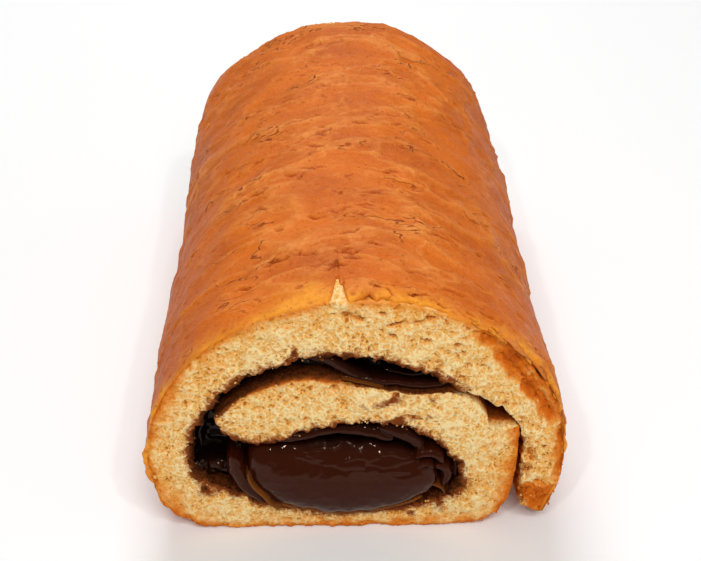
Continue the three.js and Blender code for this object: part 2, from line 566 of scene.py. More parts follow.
class Bench:
    """Where one material's nodes are put together."""

    def __init__(self, name: str) -> None:
        """Starts a material of that name, with its shader.

        Args:
            name: the material's name.
        """
        self.material = bpy.data.materials.new(name)
        self.material.use_nodes = True
        self.tree = self.material.node_tree
        self.shader = next(n for n in self.tree.nodes if n.type == "BSDF_PRINCIPLED")

    def feed(self, socket: Socket, value: object) -> None:
        """Links a socket to another, or sets it to a plain value.

        Args:
            socket: the input.
            value: another node's output, or a number or colour.
        """
        if isinstance(value, Socket):
            self.tree.links.new(value, socket)
        else:
            socket.default_value = value

    def node(self, kind: str, inputs: Inputs | None = None, **settings: object) -> bpy.types.Node:
        """Adds a node.

        Args:
            kind: the node's type.
            inputs: a socket or a value for each input, by its name or number.
            settings: the node's own options.

        Returns:
            The node.
        """
        made = self.tree.nodes.new(kind)
        for option, value in settings.items():
            setattr(made, option, value)
        for key, value in (inputs or {}).items():
            self.feed(made.inputs[key], value)
        return made

    def place(self) -> Socket:
        """The piece's own coordinates, in metres."""
        return self.node("ShaderNodeTexCoord").outputs["Object"]

    def mark(self, name: str) -> Socket:
        """A number held by the piece's points."""
        return self.node("ShaderNodeAttribute", attribute_name=name).outputs["Fac"]

    def off_middle(self, place: Socket) -> Socket:
        """Distance to the roll's middle plane, in metres."""
        across = self.node("ShaderNodeSeparateXYZ", {"Vector": place}).outputs["X"]
        return self.node("ShaderNodeMath", {0: across}, operation="ABSOLUTE").outputs[0]

    def noise(self, place: Socket, scale: float, detail: float = 2.0, roughness: float = 0.5) -> Socket:
        """Soft noise from 0 to 1, with scale bumps to the metre."""
        inputs = {"Vector": place, "Scale": scale, "Detail": detail, "Roughness": roughness}
        return self.node("ShaderNodeTexNoise", inputs).outputs["Fac"]

    def drawn(self, squeeze: Pair, scale: float, detail: float = 2.0, roughness: float = 0.5) -> Socket:
        """Soft noise on the skin, drawn out round the roll and along it.

        Args:
            squeeze: what girth and length are multiplied by first, so that less than 1 draws it out.
            scale: bumps to the metre.
            detail: how many finer layers it has.
            roughness: how strong they are.

        Returns:
            The noise, from 0 to 1.
        """
        held = self.node("ShaderNodeAttribute", attribute_name="girth").outputs["Vector"]
        place = self.node("ShaderNodeMapping", {"Vector": held, "Scale": (*squeeze, 1.0)}).outputs[0]
        return self.noise(place, scale, detail, roughness)

    def pits(self, place: Socket, scale: float, start: float, stop: float) -> Socket:
        """Round pits: 1 in the middle of each cell, 0 past its rim, between two distances."""
        cell = self.node("ShaderNodeTexVoronoi", {"Vector": place, "Scale": scale})
        return self.spread(cell.outputs["Distance"], stop, start)

    def stirred(self, place: Socket, scale: float, reach: float) -> Socket:
        """Places pushed about by noise, reach metres at most.

        Args:
            place: the places.
            scale: bumps of the noise to the metre.
            reach: how far they are pushed.

        Returns:
            The places, pushed.
        """
        noise = self.node("ShaderNodeTexNoise", {"Vector": place, "Scale": scale, "Detail": 2.0})
        inputs = {0: noise.outputs["Color"], 1: (reach, reach, reach), 2: place}
        return self.node("ShaderNodeVectorMath", inputs, operation="MULTIPLY_ADD").outputs[0]

    def walls(self, place: Socket, scale: float, width: float) -> Socket:
        """1 on the walls between cells, with scale cells to the metre, and 0 inside the cells.

        Args:
            place: the places.
            scale: cells to the metre.
            width: how wide the walls are, in cells.

        Returns:
            The share, from 0 to 1.
        """
        inputs = {"Vector": place, "Scale": scale}
        cell = self.node("ShaderNodeTexVoronoi", inputs, feature="DISTANCE_TO_EDGE")
        return self.spread(cell.outputs["Distance"], width, 0.0)

    def contour(self, value: Socket, width: float) -> Socket:
        """1 on the lines where value passes through a half, 0 where it is width or more away.

        Args:
            value: the value.
            width: how far off a half still counts.

        Returns:
            The share, from 0 to 1.
        """
        off = self.node("ShaderNodeMath", {0: value, 1: 0.5}, operation="SUBTRACT").outputs[0]
        away = self.node("ShaderNodeMath", {0: off}, operation="ABSOLUTE").outputs[0]
        return self.spread(away, width, 0.0)

    def spread(self, value: Socket, start: float, stop: float, low: float = 0.0, high: float = 1.0) -> Socket:
        """Takes value from start..stop to low..high, clamped."""
        inputs = {"Value": value, 1: start, 2: stop, 3: low, 4: high}
        return self.node("ShaderNodeMapRange", inputs, clamp=True).outputs["Result"]

    def sum(self, *parts: tuple[Socket, float]) -> Socket:
        """Adds sockets up, each times its own weight.

        Args:
            parts: pairs of a socket and its weight.

        Returns:
            The total.
        """
        total: Socket | float = 0.0
        for socket, weight in parts:
            inputs = {0: socket, 1: weight, 2: total}
            total = self.node("ShaderNodeMath", inputs, operation="MULTIPLY_ADD").outputs[0]
        return total

    def times(self, one: Socket, other: Socket) -> Socket:
        """Multiplies two values."""
        return self.node("ShaderNodeMath", {0: one, 1: other}, operation="MULTIPLY").outputs[0]

    def blend(self, share: Socket, under: Socket | tuple, over: tuple) -> Socket:
        """Lays one colour over another by share.

        Args:
            share: how much of the top colour.
            under: the colour underneath.
            over: the colour on top.

        Returns:
            The colour.
        """
        made = self.node("ShaderNodeMix", data_type="RGBA")
        for key, value in (("Factor", share), ("A", under), ("B", over)):
            self.feed(next(s for s in made.inputs if s.name == key and s.enabled), value)
        return next(s for s in made.outputs if s.enabled)

    def coat(
        self, under: Socket | tuple, over: tuple, where: Socket, reach: Pair, most: float = 1.0
    ) -> Socket:
        """Lays a colour over another, the more of it the further a value has gone.

        Args:
            under: the colour underneath.
            over: the colour on top.
            where: the value.
            reach: the values from which, and up to which, the coat grows.
            most: its full share.

        Returns:
            The colour.
        """
        return self.blend(self.spread(where, *reach, 0.0, most), under, over)

    def bump(self, height: Socket, depth: float, strength: float) -> Socket:
        """Small relief, depth metres high where height goes from 0 to 1."""
        inputs = {"Height": height, "Distance": depth, "Strength": strength}
        return self.node("ShaderNodeBump", inputs).outputs["Normal"]

    def finish(self, **sockets: object) -> bpy.types.Material:
        """Feeds the shader's sockets, each named with _ for a space.

        Args:
            sockets: what goes into each of the shader's inputs.

        Returns:
            The material.
        """
        for name, value in sockets.items():
            self.feed(self.shader.inputs[name.replace("_", " ")], value)
        return self.material


@dataclass(frozen=True)
class CrumbFinish:
    """Open, moist yellow crumb: pale walls and amber pores, painted as highlight and shade, and chocolate
    soaked in along the cream side.
    """

    pale: tuple = tint(255, 227, 168)
    warm_shade: tuple = tint(245, 188, 101)
    pore_shade: tuple = tint(180, 88, 16)
    golden: tuple = tint(240, 158, 56)
    browned: tuple = tint(222, 116, 22)
    deep: tuple = tint(184, 86, 18)
    damp: tuple = tint(152, 76, 26)
    chocolate: tuple = tint(62, 26, 8)
    # What low, the depth that is painted as shade, has to reach, from and to, for a colour to show
    warm_shade_from: Pair = (0.0, 0.5)
    pore_shade_from: Pair = (0.68, 1.12)
    # The same for browning, and for the cream soaked in
    golden_from: Pair = (0.2, 0.75)
    golden_most: float = 0.8
    browned_from: Pair = (0.6, 1.25)
    deep_from: Pair = (1.2, 2.0)
    damp_from: Pair = (0.38, 0.85)
    chocolate_from: Pair = (0.8, 1.4)
    # Cells to the metre of the crumb's walls and pits, and how far the walls are stirred, in metres
    wall_scales: Pair = (480, 950)
    wall_widths: Pair = (0.16, 0.22)
    pit_scale: float = 850
    stirred_by: float = 0.0022
    relief_depth: float = 0.0005

    def make(self) -> bpy.types.Material:
        """Builds the material from three marks of the piece: low, browning and stain. Low is painted shade,
        warmer and darker in the pores, and the walls between cells are painted pale as highlight.

        Returns:
            The material.
        """
        bench = Bench("crumb")
        place = bench.place()
        fine = bench.noise(place, 1100, 3, 0.6)
        small = bench.pits(place, self.pit_scale, 0.1, 0.34)
        wide = bench.noise(place, 80)
        stirred = bench.stirred(place, 420, self.stirred_by)
        walls, thin_walls = (bench.walls(stirred, *pair) for pair in zip(self.wall_scales, self.wall_widths))
        # Painted shade and highlight: low, pits and noise darken the crumb towards amber, and the walls
        # between cells lighten it
        held = ((bench.mark("low"), 1.0), (small, 0.3), (fine, 0.3), (wide, 0.5))
        low = bench.sum(*held, (walls, -0.46), (thin_walls, -0.38))
        colour = bench.coat(self.pale, self.warm_shade, low, self.warm_shade_from)
        colour = bench.coat(colour, self.pore_shade, low, self.pore_shade_from)
        ragged = bench.sum((bench.mark("browning"), 1.0), (fine, 0.4), (low, 0.15))
        colour = bench.coat(colour, self.golden, ragged, self.golden_from, self.golden_most)
        colour = bench.coat(colour, self.browned, ragged, self.browned_from)
        colour = bench.coat(colour, self.deep, ragged, self.deep_from)
        soaked = bench.sum((bench.mark("stain"), 1.0), (fine, 0.45), (low, 0.2))
        colour = bench.coat(colour, self.damp, soaked, self.damp_from)
        colour = bench.coat(colour, self.chocolate, soaked, self.chocolate_from)
        grain = bench.noise(place, 1700, 3, 0.6)
        relief = bench.sum((small, -0.4), (grain, 0.4), (walls, 0.5), (thin_walls, 0.3))
        normal = bench.bump(relief, self.relief_depth, 0.55)
        return bench.finish(
            Base_Color=colour,
            Roughness=0.8,
            Normal=normal,
            Subsurface_Weight=0.3,
            Subsurface_Radius=(1.0, 0.6, 0.3),
            Subsurface_Scale=0.001,
            Specular_IOR_Level=0.12,
        )


@dataclass(frozen=True)
class CrustFinish:
    """Thin baked skin: satin orange-brown, darker in patches, lighter along its wrinkles and by the cut, with
    painted shade towards its sides.
    """

    baked: tuple = tint(221, 107, 12)
    browned: tuple = tint(186, 80, 10)
    light: tuple = tint(246, 156, 74)
    rim: tuple = tint(252, 166, 46)
    crack: tuple = tint(160, 58, 4)
    # Painted shade: distances to the middle plane, in metres, between which the sides are painted browner, as
    # where less light falls, and by how much
    sides_painted_shade: Pair = (0.03, 0.054)
    sides_shade_most: float = 0.45
    # How near a tear's middle line its pale lips and its dark gap lie
    lip_width: float = 0.05
    gap_width: float = 0.016
    vein_width: float = 0.035
    relief_depth: float = 0.0005

    def make(self) -> bpy.types.Material:
        """Builds the material from four marks of the piece: girth, wrinkle, crack and rim.

        Returns:
            The material.
        """
        bench = Bench("crust")
        place = bench.place()
        patches = bench.drawn((0.9, 1.4), 36, 4, 0.6)
        colour = bench.coat(self.baked, self.browned, patches, (0.38, 0.68), 0.9)
        # Painted shade: the crust grows browner towards its left and right sides
        colour = bench.coat(colour, self.browned, bench.off_middle(place), self.sides_painted_shade, self.sides_shade_most)
        streaks = bench.drawn((0.6, 1.0), 120, 5, 0.7)
        shown = bench.spread(bench.drawn((1.0, 1.0), 30), 0.42, 0.6)
        veins = bench.contour(bench.drawn((0.7, 1.0), 48, 4, 0.6), self.vein_width)
        veins = bench.times(veins, shown)
        tears = bench.drawn((0.42, 1.0), 105, 3, 0.6)
        broken = bench.spread(bench.drawn((0.6, 1.0), 65, 3), 0.54, 0.62)
        lips = bench.times(bench.contour(tears, self.lip_width), broken)
        gaps = bench.times(bench.contour(tears, self.gap_width), broken)
        raised = ((bench.mark("wrinkle"), 0.55), (veins, 0.45), (lips, 0.5))
        lighter = bench.sum((bench.spread(streaks, 0.55, 0.8), 0.15), *raised)
        colour = bench.coat(colour, self.light, lighter, (0.1, 1.0), 0.8)
        uneven_rim = bench.times(bench.mark("rim"), bench.spread(streaks, 0.3, 0.7, 0.5, 1.3))
        colour = bench.coat(colour, self.rim, uneven_rim, (0.1, 0.9), 0.9)
        fine = bench.noise(place, 2200, 3, 0.65)
        peel = bench.noise(place, 800)
        colour = bench.coat(colour, self.light, fine, (0.4, 0.75), 0.35)
        colour = bench.coat(colour, self.browned, peel, (0.5, 0.75), 0.35)
        pits = bench.pits(place, 380, 0.05, 0.15)
        dark = bench.sum((bench.mark("crack"), 1.0), (pits, 0.4), (gaps, 1.1))
        colour = bench.coat(colour, self.crack, dark, (0.1, 1.0))
        ridges = ((bench.drawn((0.4, 1.0), 520, 3), 0.5), (veins, 0.5), (lips, 0.5), (peel, 0.7))
        skin = bench.sum((fine, 0.6), *ridges, (pits, -0.8), (gaps, -1.6))
        normal = bench.bump(skin, self.relief_depth, 0.75)
        roughness = bench.spread(bench.noise(place, 300, 3), 0.3, 0.7, 0.42, 0.6)
        return bench.finish(
            Base_Color=colour,
            Roughness=roughness,
            Normal=normal,
            Subsurface_Weight=0.08,
            Subsurface_Radius=(1.0, 0.4, 0.15),
            Subsurface_Scale=0.001,
            Specular_IOR_Level=0.18,
            Specular_Tint=(1.0, 0.85, 0.7, 1.0),
        )


@dataclass(frozen=True)
class FillingFinish:
    """Soft, glossy dark chocolate cream, painted near black as shade where it lies deep, with a thin amber
    edge where it is drawn out that is a painted reflection.
    """

    body: tuple = tint(54, 17, 5)
    # Painted shade for the cream where it lies deep
    deep: tuple = tint(12, 4, 2)
    # Painted reflection: a golden glint along the cream's thin edges
    amber_reflection: tuple = tint(140, 76, 18)
    amber_reflection_most: float = 0.9
    roughness: Pair = (0.06, 0.18)
    relief_depth: float = 0.0006

    def make(self) -> bpy.types.Material:
        """Builds the material from two marks of the piece: the painted shade where the cream lies deep, and
        the painted amber reflection on its thin edges.

        Returns:
            The material.
        """
        bench = Bench("chocolate")
        place = bench.place()
        # Painted shade: deep hollows are painted near black
        colour = bench.blend(bench.mark("shaded_hollow"), self.body, self.deep)
        # Painted reflection: thin edges are painted amber
        colour = bench.coat(colour, self.amber_reflection, bench.mark("amber_reflection"), (0.0, 1.0), self.amber_reflection_most)
        ripple = bench.noise(place, 190, 4, 0.55)
        normal = bench.bump(ripple, self.relief_depth, 0.4)
        roughness = bench.spread(bench.noise(place, 90), 0.3, 0.7, *self.roughness)
        return bench.finish(
            Base_Color=colour,
            Roughness=roughness,
            Normal=normal,
            Specular_IOR_Level=0.2,
            Specular_Tint=(1.0, 0.78, 0.6, 1.0),
        )


# ---------------------------------------------------------------- the sponge


@dataclass
class Sponge:
    """The sheet's crumb: fine torn grids on the two cuts, joined by its sides."""

    section: Section
    columns: int = 1000
    rows: int = 54
    skin_at_cut: float = 0.5
    skin_inside: float = 2.1
    skin_settles: float = 7.0
    split_angle: float = 94.8
    split_depth: float = 12.0
    stain_starts: float = 38.0
    lumps: tuple[Ripple, ...] = (Ripple(8.0, 0.6, 51, 2),)
    grains: tuple[Ripple, ...] = (Ripple(3.4, 0.5, 52, 2), Ripple(1.7, 0.3, 54, 2), Ripple(0.9, 0.2, 53))
    pores_moved: float = 0.36
    hollows_sink: float = 2.0
    cream_edge_sinks: float = 0.8
    crust_edge_sinks: float = 0.25
    far_pattern: float = 1.7
    torn_sinks: float = 1.7
    torn_roughness: float = 1.5
    smear_strength: float = 0.62
    crumb_rests_at: float = 0.3
    # Depths of the rings behind the shown cut, those with all points and those with half as many
    fine_steps: tuple[float, ...] = (0.7, 1.5, 2.6, 4.0)
    coarse_steps: tuple[float, ...] = (5.4, 7, 9.5, 11.5, 13.5, 20, 45, 90, 140, 165, 176, 180, 182.4)
    # Stretches over which stains and clean crumb begin, in stations past the shoulder or the sheet's end
    turn_stains: Pair = (3.4, 4.4)
    end_stains: Pair = (-2.2, -0.5)
    left_is_clean: Pair = (6.0, 6.8)
    slit: Pair = (42.0, 48.0)
    slit_top: float = 37.0
    notch: Spot = Spot(40.0, 38.0, 14.0, 12.0)
    hollows: tuple[Spot, ...] = (
        Spot(-2.6, 73.4, 2.1, 2.0),
        Spot(0.6, 72.4, 1.9, 1.5),
        Spot(6.4, 74.2, 1.3, 0.9),
        Spot(9.0, 67.2, 1.4, 0.9, -30),
        Spot(25.8, 63.8, 1.4, 1.2),
        Spot(17.5, 65.4, 1.8, 0.8),
        Spot(18.5, 72.2, 2.2, 1.2),
        Spot(-6.0, 50.2, 1.6, 1.8),
        Spot(-2.5, 50.8, 2.6, 1.3, -25),
        Spot(47.6, 26.0, 1.9, 4.0),
        Spot(46.6, 20.5, 1.8, 3.0),
        Spot(10.0, 70.8, 3.4, 1.0, 8),
        Spot(15.5, 71.0, 2.2, 0.9, 20),
    )
    torn: tuple[Spot, ...] = (
        Spot(40.5, 58.5, 9.0, 5.0, -52),
        Spot(34.0, 66.5, 6.5, 3.4, -38),
        Spot(46.0, 50.0, 8.5, 3.2, -58),
        Spot(50.5, 42.0, 8.0, 2.8, -70),
        Spot(52.0, 8.5, 6.5, 10.0),
        Spot(47.5, 11.5, 3.4, 5.0, -20),
        Spot(56.5, 28.0, 3.6, 17.0),
        Spot(-58.0, 20.0, 2.6, 6.0),
        Spot(20.0, 76.0, 9.0, 2.0, -12),
    )
    smears: tuple[Spot, ...] = (
        Spot(8.5, 45.6, 5.5, 1.7, 14),
        Spot(1.8, 43.6, 2.4, 1.2, -25),
        Spot(12.0, 39.0, 6.5, 1.9, 8),
        Spot(18.0, 39.8, 3.0, 0.9, 12),
        Spot(-16.6, 62.4, 1.1, 2.8),
        Spot(25.5, 51.5, 3.6, 2.0, -38),
        Spot(20.5, 46.0, 2.0, 2.2),
        Spot(-42.0, 15.5, 3.0, 3.4, 20),
        Spot(-35.5, 17.5, 4.0, 2.2, -30),
        Spot(15.0, 5.8, 2.2, 1.6),
        Spot(23.5, 8.0, 2.6, 3.0),
        Spot(28.4, 14.0, 1.5, 6.5),
        Spot(-38.5, 45.0, 1.6, 3.0, -30),
        Spot(-43.0, 30.0, 2.2, 5.0),
    )

    def strip(self, places: Array, rows: int, skin: Array | float) -> Array:
        """The strip's points and what the marks need to know of them.

        Args:
            places: where along the sheet, in stations.
            rows: number of steps across the sheet.
            skin: how far the crumb's crust side lies inside the crust's guide.

        Returns:
            A grid of (x, z, share across, thickness, place), with the share 0 on the crust side.
        """
        crust = self.section.guide(Side.CRUST, places)
        cream = self.section.guide(Side.CREAM, places)
        thick = np.linalg.norm(cream - crust, axis=-1)
        covered = skin / thick * (places < self.section.corner())
        across = covered[:, None] + (1 - covered[:, None]) * np.linspace(0, 1, rows + 1)
        flat = crust[:, None] * (1 - across[..., None]) + cream[:, None] * across[..., None]
        wide = np.broadcast_to(thick[:, None], across.shape)
        along = np.broadcast_to(places[:, None], across.shape)
        return np.dstack([flat, across, wide, along])

    def relief(self, flat: Array) -> tuple[Array, Array]:
        """The torn crumb's relief on a cut.

        Lumps and grains are noise of three sizes. Pores are bowls of three sizes on places that are first
        pushed about by noise, so that their outlines are uneven, and they thin out where wide noise is low.

        Args:
            flat: places on the cut, as (x, z).

        Returns:
            How far each place stands out of the cut, and how low it lies, from 0 to 1, which the finish
            paints as shade.
        """
        moved = flat + self.pores_moved * (pushes(flat, 1.3, (11, 12)) + 0.5 * pushes(flat, 0.6, (13, 14)))
        crowded = 0.75 + 0.35 * billow(flat, 9.0, 15)
        large = bowls(moved, 4.2, 21, (0.5, 1.0), 0.3) * crowded
        middle = bowls(moved, 1.9, 31, (0.26, 0.6), 0.85) * crowded
        small = bowls(moved + 7.3, 1.05, 41, (0.18, 0.38), 0.7)
        pore_shade = np.maximum(large, np.maximum(0.95 * middle, 0.7 * small))
        grains = rippled(flat, self.grains)
        height = rippled(flat, self.lumps) + grains
        height = height - 0.9 * large**0.8 - 0.6 * middle - 0.2 * small
        # Painted shade: pits, the dips between grains and the hollows below are marked low for the finish to
        # paint darker
        pore_shade = np.clip(0.16 - 0.7 * grains + 0.9 * pore_shade, 0, 1)
        for shaded_hollow in self.hollows:
            share = shaded_hollow.share(flat)
            height = height - self.hollows_sink * share**0.7
            pore_shade = np.maximum(pore_shade, 0.9 * np.sqrt(share))
        return height, pore_shade

    def marks(self, grid: Array, pore_shade: Array, depth: float) -> dict[str, Array]:
        """Where the crumb is browned by the oven and where it is stained by the filling, with painted shade
        in its pores, its notch and its slit.

        Args:
            grid: the strip's points, as strip gives them.
            pore_shade: how deep in a pit of the crumb each point lies, painted as shade.
            depth: how far behind the cut the points lie.

        Returns:
            The marks by name.
        """
        x, z, across, thick, place = np.moveaxis(grid, -1, 0)
        flat = grid[..., :2]
        section = self.section
        from_crust, from_cream = across * thick, (1 - across) * thick
        bent = self.bent(flat)
        uneven = np.clip(1 + 0.75 * billow(flat, 2.2, 61, 2) + 0.45 * billow(flat, 7.0, 62), 0.2, None)
        # Cream soaks in from the cream side, and from the crust side where the inner turn lies against it
        creamed = ease(place, section.at_angle(self.stain_starts), section.at_angle(self.stain_starts + 12))
        over_turn = ease(place - section.corner(), *self.turn_stains)
        soak = 1.1 * creamed * np.exp(-((from_cream / (0.3 + 1.25 * uneven)) ** 1.2))
        soak = np.maximum(soak, over_turn * (1 - ease(from_crust, 0.0, 0.3 + 0.7 * uneven)))
        end_of_turn = ease(place - section.last(), *self.end_stains)
        soak = np.maximum(soak, 0.9 * end_of_turn * (1 - ease(from_crust, 0.3 * uneven, 1.8 * uneven)))
        clean_left = ease(place - section.corner(), *self.left_is_clean)
        shown = 1.0 - float(ease(depth, 0.7, 2.0))
        soak = soak * (1 - 0.5 * shown * clean_left * (1 - end_of_turn) * (from_crust < 4.0))
        # Smears of cream lie on the cut and go no deeper than a few millimetres
        at_cut = 1.0 - float(ease(depth, 0.0, 3.0))
        for smear in self.smears:
            smeared = self.smear_strength * at_cut * np.sqrt(smear.share(bent)) * uneven
            soak = np.maximum(soak, smeared)
        # The oven browns the crumb next to the crust, a little deeper underneath
        under = ease(place, section.at_angle(186), section.at_angle(200))
        close = 1.1 * np.exp(-from_crust / ((1.5 + 0.6 * under) * uneven))
        browned = (close + 0.42 * np.exp(-from_crust / (4.0 * uneven))) * (place < section.corner())
        browned = browned * (1 - 0.35 * ease(z, 62, 72)) * (1 - self.by_split(place, depth))
        turned_in = clean_left * (1 - end_of_turn)
        browned = np.maximum(browned, 1.7 * turned_in * np.exp(-from_crust / (0.6 * uneven)))
        # Torn places show the skin's brown underside. The notch and the slit at the loose end are brown like
        # it, and are painted darker as shade the further they lie behind the cut
        brown = 0.55 + 0.4 * uneven + 0.7 * self.streaks(from_crust, place)
        for tear in self.torn:
            browned = np.maximum(browned, brown * tear.share(bent) ** 0.55)
        shade_inwards = float(ease(depth, 0.8, 6.0))
        notch_shade = self.notch.share(flat) ** 0.3
        slit_shade = (x > self.slit[0]) * (x < self.slit[1]) * (z < self.slit_top)
        browned = np.maximum(browned, 2.0 * shade_inwards * np.maximum(notch_shade, slit_shade))
        soak = np.maximum(soak, 0.6 * shade_inwards * notch_shade)
        return {"stain": np.clip(soak, 0, 1), "browning": np.clip(browned, 0, 2), "low": pore_shade}

    @staticmethod
    def bent(flat: Array) -> Array:
        """Places on the cut pushed about by noise, so that spots have uneven outlines."""
        return flat + 1.6 * pushes(flat, 4.0, (63, 64), 3)

    @staticmethod
    def streaks(from_crust: Array, place: Array) -> Array:
        """Noise from 0 to 1 drawn out along the sheet, as on a torn skin."""
        return 0.5 + 0.5 * billow(np.stack([from_crust * 1.2, place * 2.2], -1), 1.4, 65, 3)

    def by_split(self, place: Array, depth: float) -> Array:
        """1 at the split in the crust's crown, 0 away from it and behind its end."""
        off = (place - self.section.at_angle(self.split_angle)) * self.section.wrap_step
        return np.exp(-((off / 3.0) ** 2)) * float(1 - ease(depth, self.split_depth, self.split_depth + 1.5))

    def cut(self, end: End, places: Array, rows: int) -> tuple[Array, dict[str, Array]]:
        """One cut's surface: the crumb's relief, rounded at the sheet's edges and sunk where it is torn.

        Args:
            end: which cut.
            places: where along the sheet, in stations.
            rows: number of steps across the sheet.

        Returns:
            The points in millimetres, and the marks by name.
        """
        grid = self.strip(places, rows, self.skin_at_cut)
        x, z, across, thick, place = np.moveaxis(grid, -1, 0)
        flat = grid[..., :2]
        height, pore_shade = self.relief(flat * (1.0 if end is End.FRONT else self.far_pattern))
        height = height - self.cream_edge_sinks * np.exp(-(1 - across) * thick / 0.6)
        height = height - self.crust_edge_sinks * np.exp(-across * thick / 0.8)
        smooth = np.zeros_like(x)
        bent = self.bent(flat)
        rough = self.streaks(across * thick, place) - 0.5 - 0.5 * bowls(flat, 2.2, 66, (0.5, 1.1), 0.8)
        for tear in self.torn:
            share = tear.share(bent)
            height = height - self.torn_sinks * share + self.torn_roughness * np.sqrt(share) * rough
            smooth = np.maximum(smooth, np.sqrt(share))
        points = np.stack([x, self.section.level(end) + end.value * height, z], -1)
        return self.ragged(points, across), self.marks(grid, pore_shade * (1 - 0.4 * smooth), 0.0)

    @staticmethod
    def ragged(points: Array, across: Array) -> Array:
        """Pushes points about in X and Z by noise, most on the cream side, so that edges aren't straight."""
        push = np.insert(pushes(points, 1.5, (71, 72), 3), 1, 0.0, axis=-1)
        return points + (0.5 + 1.3 * across[..., None] ** 3) * push

    def ring(self, places: Array, rows: int, depth: float) -> tuple[Array, dict[str, Array]]:
        """The strip's outline at one depth behind the shown cut.

        Args:
            places: where along the sheet, in stations.
            rows: number of steps across the sheet.
            depth: how far behind the cut.

        Returns:
            The points in millimetres, and the marks by name.
        """
        front, back = self.section.low[1], self.section.high[1]
        to_cut = min(depth, back - front - depth)
        share = float(ease(to_cut, 0.0, self.skin_settles)) * (1 - self.by_split(places, depth))
        skin = self.skin_at_cut + (self.skin_inside - self.skin_at_cut) * share
        grid = self.strip(places, rows, skin)
        loop = grid.reshape(-1, grid.shape[-1])[Hull.edge(grid.shape)]
        points = np.stack([loop[:, 0], np.full(len(loop), front + depth), loop[:, 1]], -1)
        # Painted shade of the pores on the sheet's sides
        pore_shade = 0.2 + 0.5 * bowls(points[:, [0, 2]] + depth, 1.7, 81, (0.4, 0.8))
        return self.ragged(points, loop[:, 2]), self.marks(loop, pore_shade, depth)

    def build(self) -> bpy.types.Object:
        """Makes the crumb, with its marks and its finish.

        Returns:
            The object, at the origin.
        """
        section = self.section
        places = section.even_places(0.0, float(section.last()), self.columns)
        coarse = places[::2]
        near, near_marks = self.cut(End.FRONT, places, self.rows)
        far, far_marks = self.cut(End.BACK, coarse, self.rows // 2)
        rings = [self.ring(places, self.rows, depth) for depth in self.fine_steps]
        rings += [self.ring(coarse, self.rows // 2, depth) for depth in self.coarse_steps]
        hull = Hull(near, [ring for ring, _ in rings], far)
        marks = {}
        for name in near_marks:
            parts = [near_marks[name].ravel(), *[m[name] for _, m in rings], far_marks[name].ravel()]
            marks[name] = np.concatenate(parts)
        points = section.settle(hull.points())
        points[:, 2] = np.maximum(points[:, 2], self.crumb_rests_at)
        return make_piece("crumb", points, hull.faces(), marks, CrumbFinish().make())


# ---------------------------------------------------------------- the crust


@dataclass(frozen=True)
class Cracks:
    """Short shallow cracks in the crust, strung out in loose chains round the girth."""

    chains: tuple[float, ...] = (-84.0, -73.0, -64.0, -50.0, -36.0, -24.0, -8.0, 4.0, 12.0, 30.0, 52.0, 72.0)
    each: int = 11
    seed: int = 5
    length: Pair = (1.4, 5.5)
    width: Pair = (0.45, 0.85)

    def depth(self, girth: Array, y: Array, span: Pair) -> tuple[Array, Array]:
        """Depth in a crack and height of its lips, each from 0 to 1.

        In a crack's own axes it is an oval that wavers, and its lips are a ring just outside the oval.

        Args:
            girth: place round the roll, in millimetres.
            y: place along the roll, in millimetres.
            span: lowest and highest girth that cracks reach.

        Returns:
            The depth and the lips' height at each point.
        """
        draw = np.random.default_rng(self.seed)
        depth, lips = np.zeros_like(girth), np.zeros_like(girth)
        for chain in self.chains:
            for _ in range(self.each):
                middle = draw.normal(sum(span) / 2, (span[1] - span[0]) / 4.5), chain + draw.normal(0.0, 2.6)
                half, wide = draw.uniform(*self.length), draw.uniform(*self.width)
                lean, phase = draw.normal(0.0, 0.3), draw.uniform(0, 2 * np.pi)
                along = (girth - middle[0]) * math.cos(lean) + (y - middle[1]) * math.sin(lean)
                across = (y - middle[1]) * math.cos(lean) - (girth - middle[0]) * math.sin(lean)
                across = across + 0.5 * np.sin(along * 1.1 + phase)
                away = np.sqrt((across / wide) ** 2 + (along / half) ** 2)
                depth = np.maximum(depth, np.clip(1 - away**2, 0, 1))
                lips = np.maximum(lips, np.clip(1 - ((away - 1.5) / 0.8) ** 2, 0, 1))
        return depth, lips * (1 - depth)


